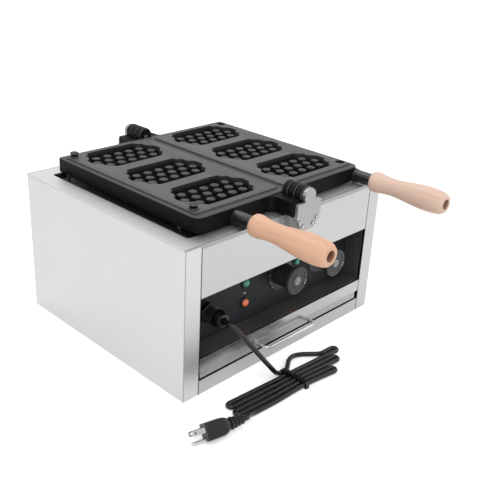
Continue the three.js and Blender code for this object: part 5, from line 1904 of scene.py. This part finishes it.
@dataclass
class MainsCord(SubAssembly):
    """The mains cord in its tied hank, with its band and its plug.

    The hank's lanes are counted in half pitches from its middle line.
    """

    radius: float = 3.5
    exit: Point = (-132.0, -176.9, 97.0)
    lead: tuple[Point, ...] = (
        (-132.0, -183.9, 97.0), (-129.8, -192.8, 95.0), (-121.3, -199.6, 82.0), (-109.0, -207.5, 63.0),
        (-97.5, -216.0, 45.0), (-85.0, -220.2, 28.0), (-76.0, -220.4, 17.0), (-67.5, -218.4, 9.0),
    )
    waist_x: float = -54.0
    waist_y: float = -239.5
    slant: float = 0.072
    waist_z: float = 5.0
    floor_z: float = 3.7
    pitch: float = 8.6
    waist_pitch: float = 7.7
    waist_long: float = 70.0
    start: float = -58.0
    tips: Point = (46.0, 28.0, 3.0)
    folds: Flat = (-160.0, -164.0)
    end: float = -150.0
    fold_steps: int = 10
    run_step: float = 12.0
    bulge: float = 20.0
    bulge_span: Flat = (-50.0, 23.0)
    bulge_ease: float = 1.3
    tail: tuple[Point, ...] = ((-163.0, -256.6, 8.4),)
    plug_at: Point = (-178.5, -261.5, 13.3)
    plug_turn: float = 13.5
    plug_roll: float = 38.0
    blades: Flat = (-7.1, 5.6)
    blade_thick: float = 1.5
    ground_pin: float = -8.4

    def _lane(self, x: float, lane: int) -> Vector:
        """The place of a lane at a distance along the hank.

        Args:
            x: The distance.
            lane: The lane.

        Returns:
            The place in millimetres.
        """
        away = min(abs(x - self.waist_x) / self.waist_long, 1.0)
        ease = away * away * (3 - 2 * away)
        pitch = self.waist_pitch + (self.pitch - self.waist_pitch) * ease
        y = self.waist_y - self.slant * (x - self.waist_x) + lane * pitch / 2
        return Vector((x, y, self.waist_z + (self.floor_z - self.waist_z) * ease))

    def _run(self, x0: float, x1: float, lane: int, loose: bool = False) -> list[Vector]:
        """One run of the hank.

        Args:
            x0: Where it starts.
            x1: Where it ends.
            lane: Its lane.
            loose: Whether it bows out as the loose loop.

        Returns:
            Its points.
        """
        steps = max(round(abs(x1 - x0) / self.run_step), 1)
        low, high = self.bulge_span
        line = []
        for i in range(steps + 1):
            x = x0 + (x1 - x0) * i / steps
            part = (x - low) / (high - low)
            out = 0.0
            if loose and 0 < part < 1:
                out = self.bulge * math.sin(math.pi * part) ** self.bulge_ease
            line.append(self._lane(x, lane) + Vector((0.0, out, 0.0)))
        return line

    def _fold(self, x: float, way: int, leaves: int, joins: int) -> list[Vector]:
        """Half a turn at an end of the hank.

        Args:
            x: Where it starts.
            way: 1 at the right end, -1 at the left.
            leaves: The lane that it leaves.
            joins: The lane that it joins.

        Returns:
            Its points.
        """
        a, b = self._lane(x, leaves), self._lane(x, joins)
        out = Vector((way * (a - b).length / 2, 0.0, 0.0))
        turns = [math.pi * i / self.fold_steps for i in range(1, self.fold_steps)]
        return [(a + b) / 2 + (a - b) / 2 * math.cos(turn) + out * math.sin(turn) for turn in turns]

    def route(self) -> list[Vector]:
        """The route from the gland to the plug.

        Returns:
            Points in millimetres.
        """
        turn = math.radians(self.plug_turn)
        way = Vector((-math.cos(turn), math.sin(turn), 0.0))
        plug = Vector(self.plug_at)
        back, middle, front = self.tips
        back_fold, front_fold = self.folds
        low, high = self.bulge_span
        places = [
            Vector(self.exit),
            *(Vector(p) for p in self.lead),
            *self._run(self.start, low, 5),
            *self._run(low, high, 5, True),
            *self._run(high, back, 5),
            *self._fold(back, 1, 5, 3),
            *self._run(back, back_fold, 3),
            *self._fold(back_fold, -1, 3, 1),
            *self._run(back_fold, middle, 1),
            *self._fold(middle, 1, 1, -1),
            *self._run(middle, front_fold, -1),
            *self._fold(front_fold, -1, -1, -3),
            *self._run(front_fold, front, -3),
            *self._fold(front, 1, -3, -5),
            *self._run(front, self.end, -5),
            *(Vector(p) for p in self.tail),
            plug - way * 6.0,
            plug + way * 3.0,
        ]
        kept = places[:1]
        for place in places[1:]:
            if (place - kept[-1]).length > self.radius / 10:
                kept.append(place)
        return kept

    def cable(self) -> tuple[bpy.types.Object, float]:
        """The cord itself, one open line.

        Returns:
            The piece and its length in millimetres.
        """
        line = flowing(self.route(), 3.0)
        data = bpy.data.curves.new("mains_cord", "CURVE")
        data.dimensions = "3D"
        data.bevel_depth = self.radius * MM
        data.bevel_resolution = 4
        data.use_fill_caps = True
        spline = data.splines.new("POLY")
        spline.points.add(len(line) - 1)
        for point, at in zip(spline.points, line):
            point.co = (*(at * MM), 1.0)
        spline.use_smooth = True
        made = put("mains_cord", data)
        data.materials.append(self.paint.of(Look.CORD_RUBBER))
        mount(made, Body.CASE, ["cord_lead", "cord_hank", "cord_tail"])
        return made, sum((b - a).length for a, b in zip(line, line[1:]))

    def band(self) -> bpy.types.Object:
        """The tie round the hank's waist, with its twisted ends.

        Returns:
            The piece.
        """
        form = Former(self.paint, "twisted_cord_tie")
        outer = [(24.6, 0.1), (24.6, 6.9), (21.4, 10.2), (0.0, 10.5)]
        inner = [(23.6, 1.1), (23.6, 6.5), (20.9, 9.2), (0.0, 9.3)]
        for start, stop in ((-3.1, -0.2), (0.3, 3.0)):
            rings = []
            for half in (outer, inner):
                outline = half + [(-u, v) for u, v in reversed(half[:-1])]
                places = [(self.waist_x + start, self.waist_y + u, v) for u, v in outline]
                rings.append(form.ring(places))
            form.thicken(form.fill(*rings), (stop - start, 0.0, 0.0))
        for phase, ends in ((0.0, (7.0, 5.0)), (math.pi, (3.0, 9.0))):
            knot = []
            for i in range(19):
                part, turn = i / 18, phase + i * 0.75
                knot.append(
                    Vector(
                        (
                            self.waist_x - 1.5 + 1.2 * math.cos(turn) - ends[0] * part**3,
                            self.waist_y + 13.0 - 15.0 * part,
                            12.2 + 1.1 * math.sin(turn) + ends[1] * part**4 * 0.6,
                        )
                    )
                )
            form.tube(flowing(knot, 1.2), 1.15, 8)
        return form.finish(Look.BLACK_PLASTIC, Body.CASE, ["cord_tie"], 30.0, 0.2)

    def plug_place(self) -> Matrix:
        """Where the plug lies, its local Z axis towards its blades.

        Returns:
            The place in millimetres.
        """
        turn = math.radians(self.plug_turn)
        ahead = Vector((-math.cos(turn), math.sin(turn), 0.0))
        up = Vector((0.0, 0.0, 1.0))
        made = Matrix((up.cross(ahead), up, ahead)).transposed().to_4x4()
        made.translation = self.plug_at
        return made @ Matrix.Rotation(math.radians(self.plug_roll), 4, "Z")

    def plug(self) -> list[bpy.types.Object]:
        """The moulded plug with its ribbed relief, two blades and round ground pin.

        Returns:
            The pieces.
        """
        place = self.plug_place()
        moulding = Former(self.paint, "moulded_plug")
        rings = []
        for along, wide, high, corner in (
            (20.0, 6.5, 6.5, 6.3), (22.0, 7.4, 7.8, 6.4), (25.0, 8.3, 9.4, 5.6), (28.5, 8.9, 10.6, 4.4),
            (34.0, 9.2, 11.1, 3.3), (48.0, 9.2, 11.2, 3.0), (53.6, 9.1, 11.1, 3.0),
            (54.6, 8.8, 10.95, 2.7), (55.0, 8.3, 10.8, 2.3),
        ):
            section = rounded((-wide, -high), (wide, high), corner, 8)
            rings.append(moulding.ring(lifted(section, place, along)))
        moulding.bridge(*rings)
        moulding.fill(rings[0])
        moulding.fill(rings[-1])
        relief: list[Flat] = [(3.6, 0.0), (4.9, 0.0)]
        for i in range(4):
            start, grow = i * 5.25, 0.8 * i
            relief += [
                (5.4 + grow, start), (5.8 + grow, start + 0.5), (5.8 + grow, start + 2.6),
                (5.4 + grow, start + 3.1), (4.9 + grow * 0.6, start + 3.3),
                (4.9 + grow * 0.6, start + 5.0),
            ]
        relief += [(6.6, 20.8), (6.6, 21.5), (3.6, 21.5), (3.6, 0.0)]
        moulding.turn(relief, 36, place)
        made = [moulding.finish(Look.BLACK_PLASTIC, Body.CASE, ["plug_body"], 38.0)]
        for word, offset in zip(("left", "right"), self.blades):
            blade = Former(self.paint, f"flat_blade_{word}")
            rings = [
                blade.ring([tuple(place @ Vector((offset, v, w))) for v, w in line])
                for line in (rounded((0.2, 55.3), (6.6, 72.3), 1.2), arc((3.4, 68.4), 1.6, 0, 340, 17))
            ]
            across = place.to_3x3() @ Vector((self.blade_thick, 0.0, 0.0))
            blade.thicken(blade.fill(*rings), tuple(across))
            node = f"plug_blade_{word}"
            made.append(blade.finish(Look.SCREW_STEEL, Body.CASE, [node], bevel=0.15))
        pin = Former(self.paint, "round_ground_pin")
        pin.turn(
            [(0.0, 55.3), (2.4, 55.3), (2.4, 72.0), (2.2, 73.4), (1.6, 74.4), (0.8, 74.8), (0.0, 74.8)],
            28,
            place @ Matrix.Translation((0.0, self.ground_pin, 0.0)),
        )
        made.append(pin.finish(Look.SCREW_STEEL, Body.CASE, ["plug_ground_pin"]))
        return made

    def build(self) -> None:
        """Makes the cord, its tie and its plug, and logs the cord's length."""
        cable, length = self.cable()
        with_pieces = [self.band(), *self.plug()]
        log.info("the cord is %.0f mm long", length)


def main() -> None:
    """Builds the whole scene, the camera and the cord first."""
    studio = Studio()
    studio.camera()
    paint = PaintShop()
    MainsCord(paint).build()
    studio.build()
    CaseMetalwork(paint).build()
    for side, handle_x in ((Side.LEFT, 97.3), (Side.RIGHT, 158.5)):
        MouldHalf(paint, side, handle_x).build()
    for side, x in ((Side.LEFT, -97.3), (Side.RIGHT, 158.5)):
        HandleGrip(paint, side, x).build()
    ControlRecess(paint).build()
    ScrewSet(paint).build()
    TrayBow(paint).build()


if __name__ == "__main__":
    main()
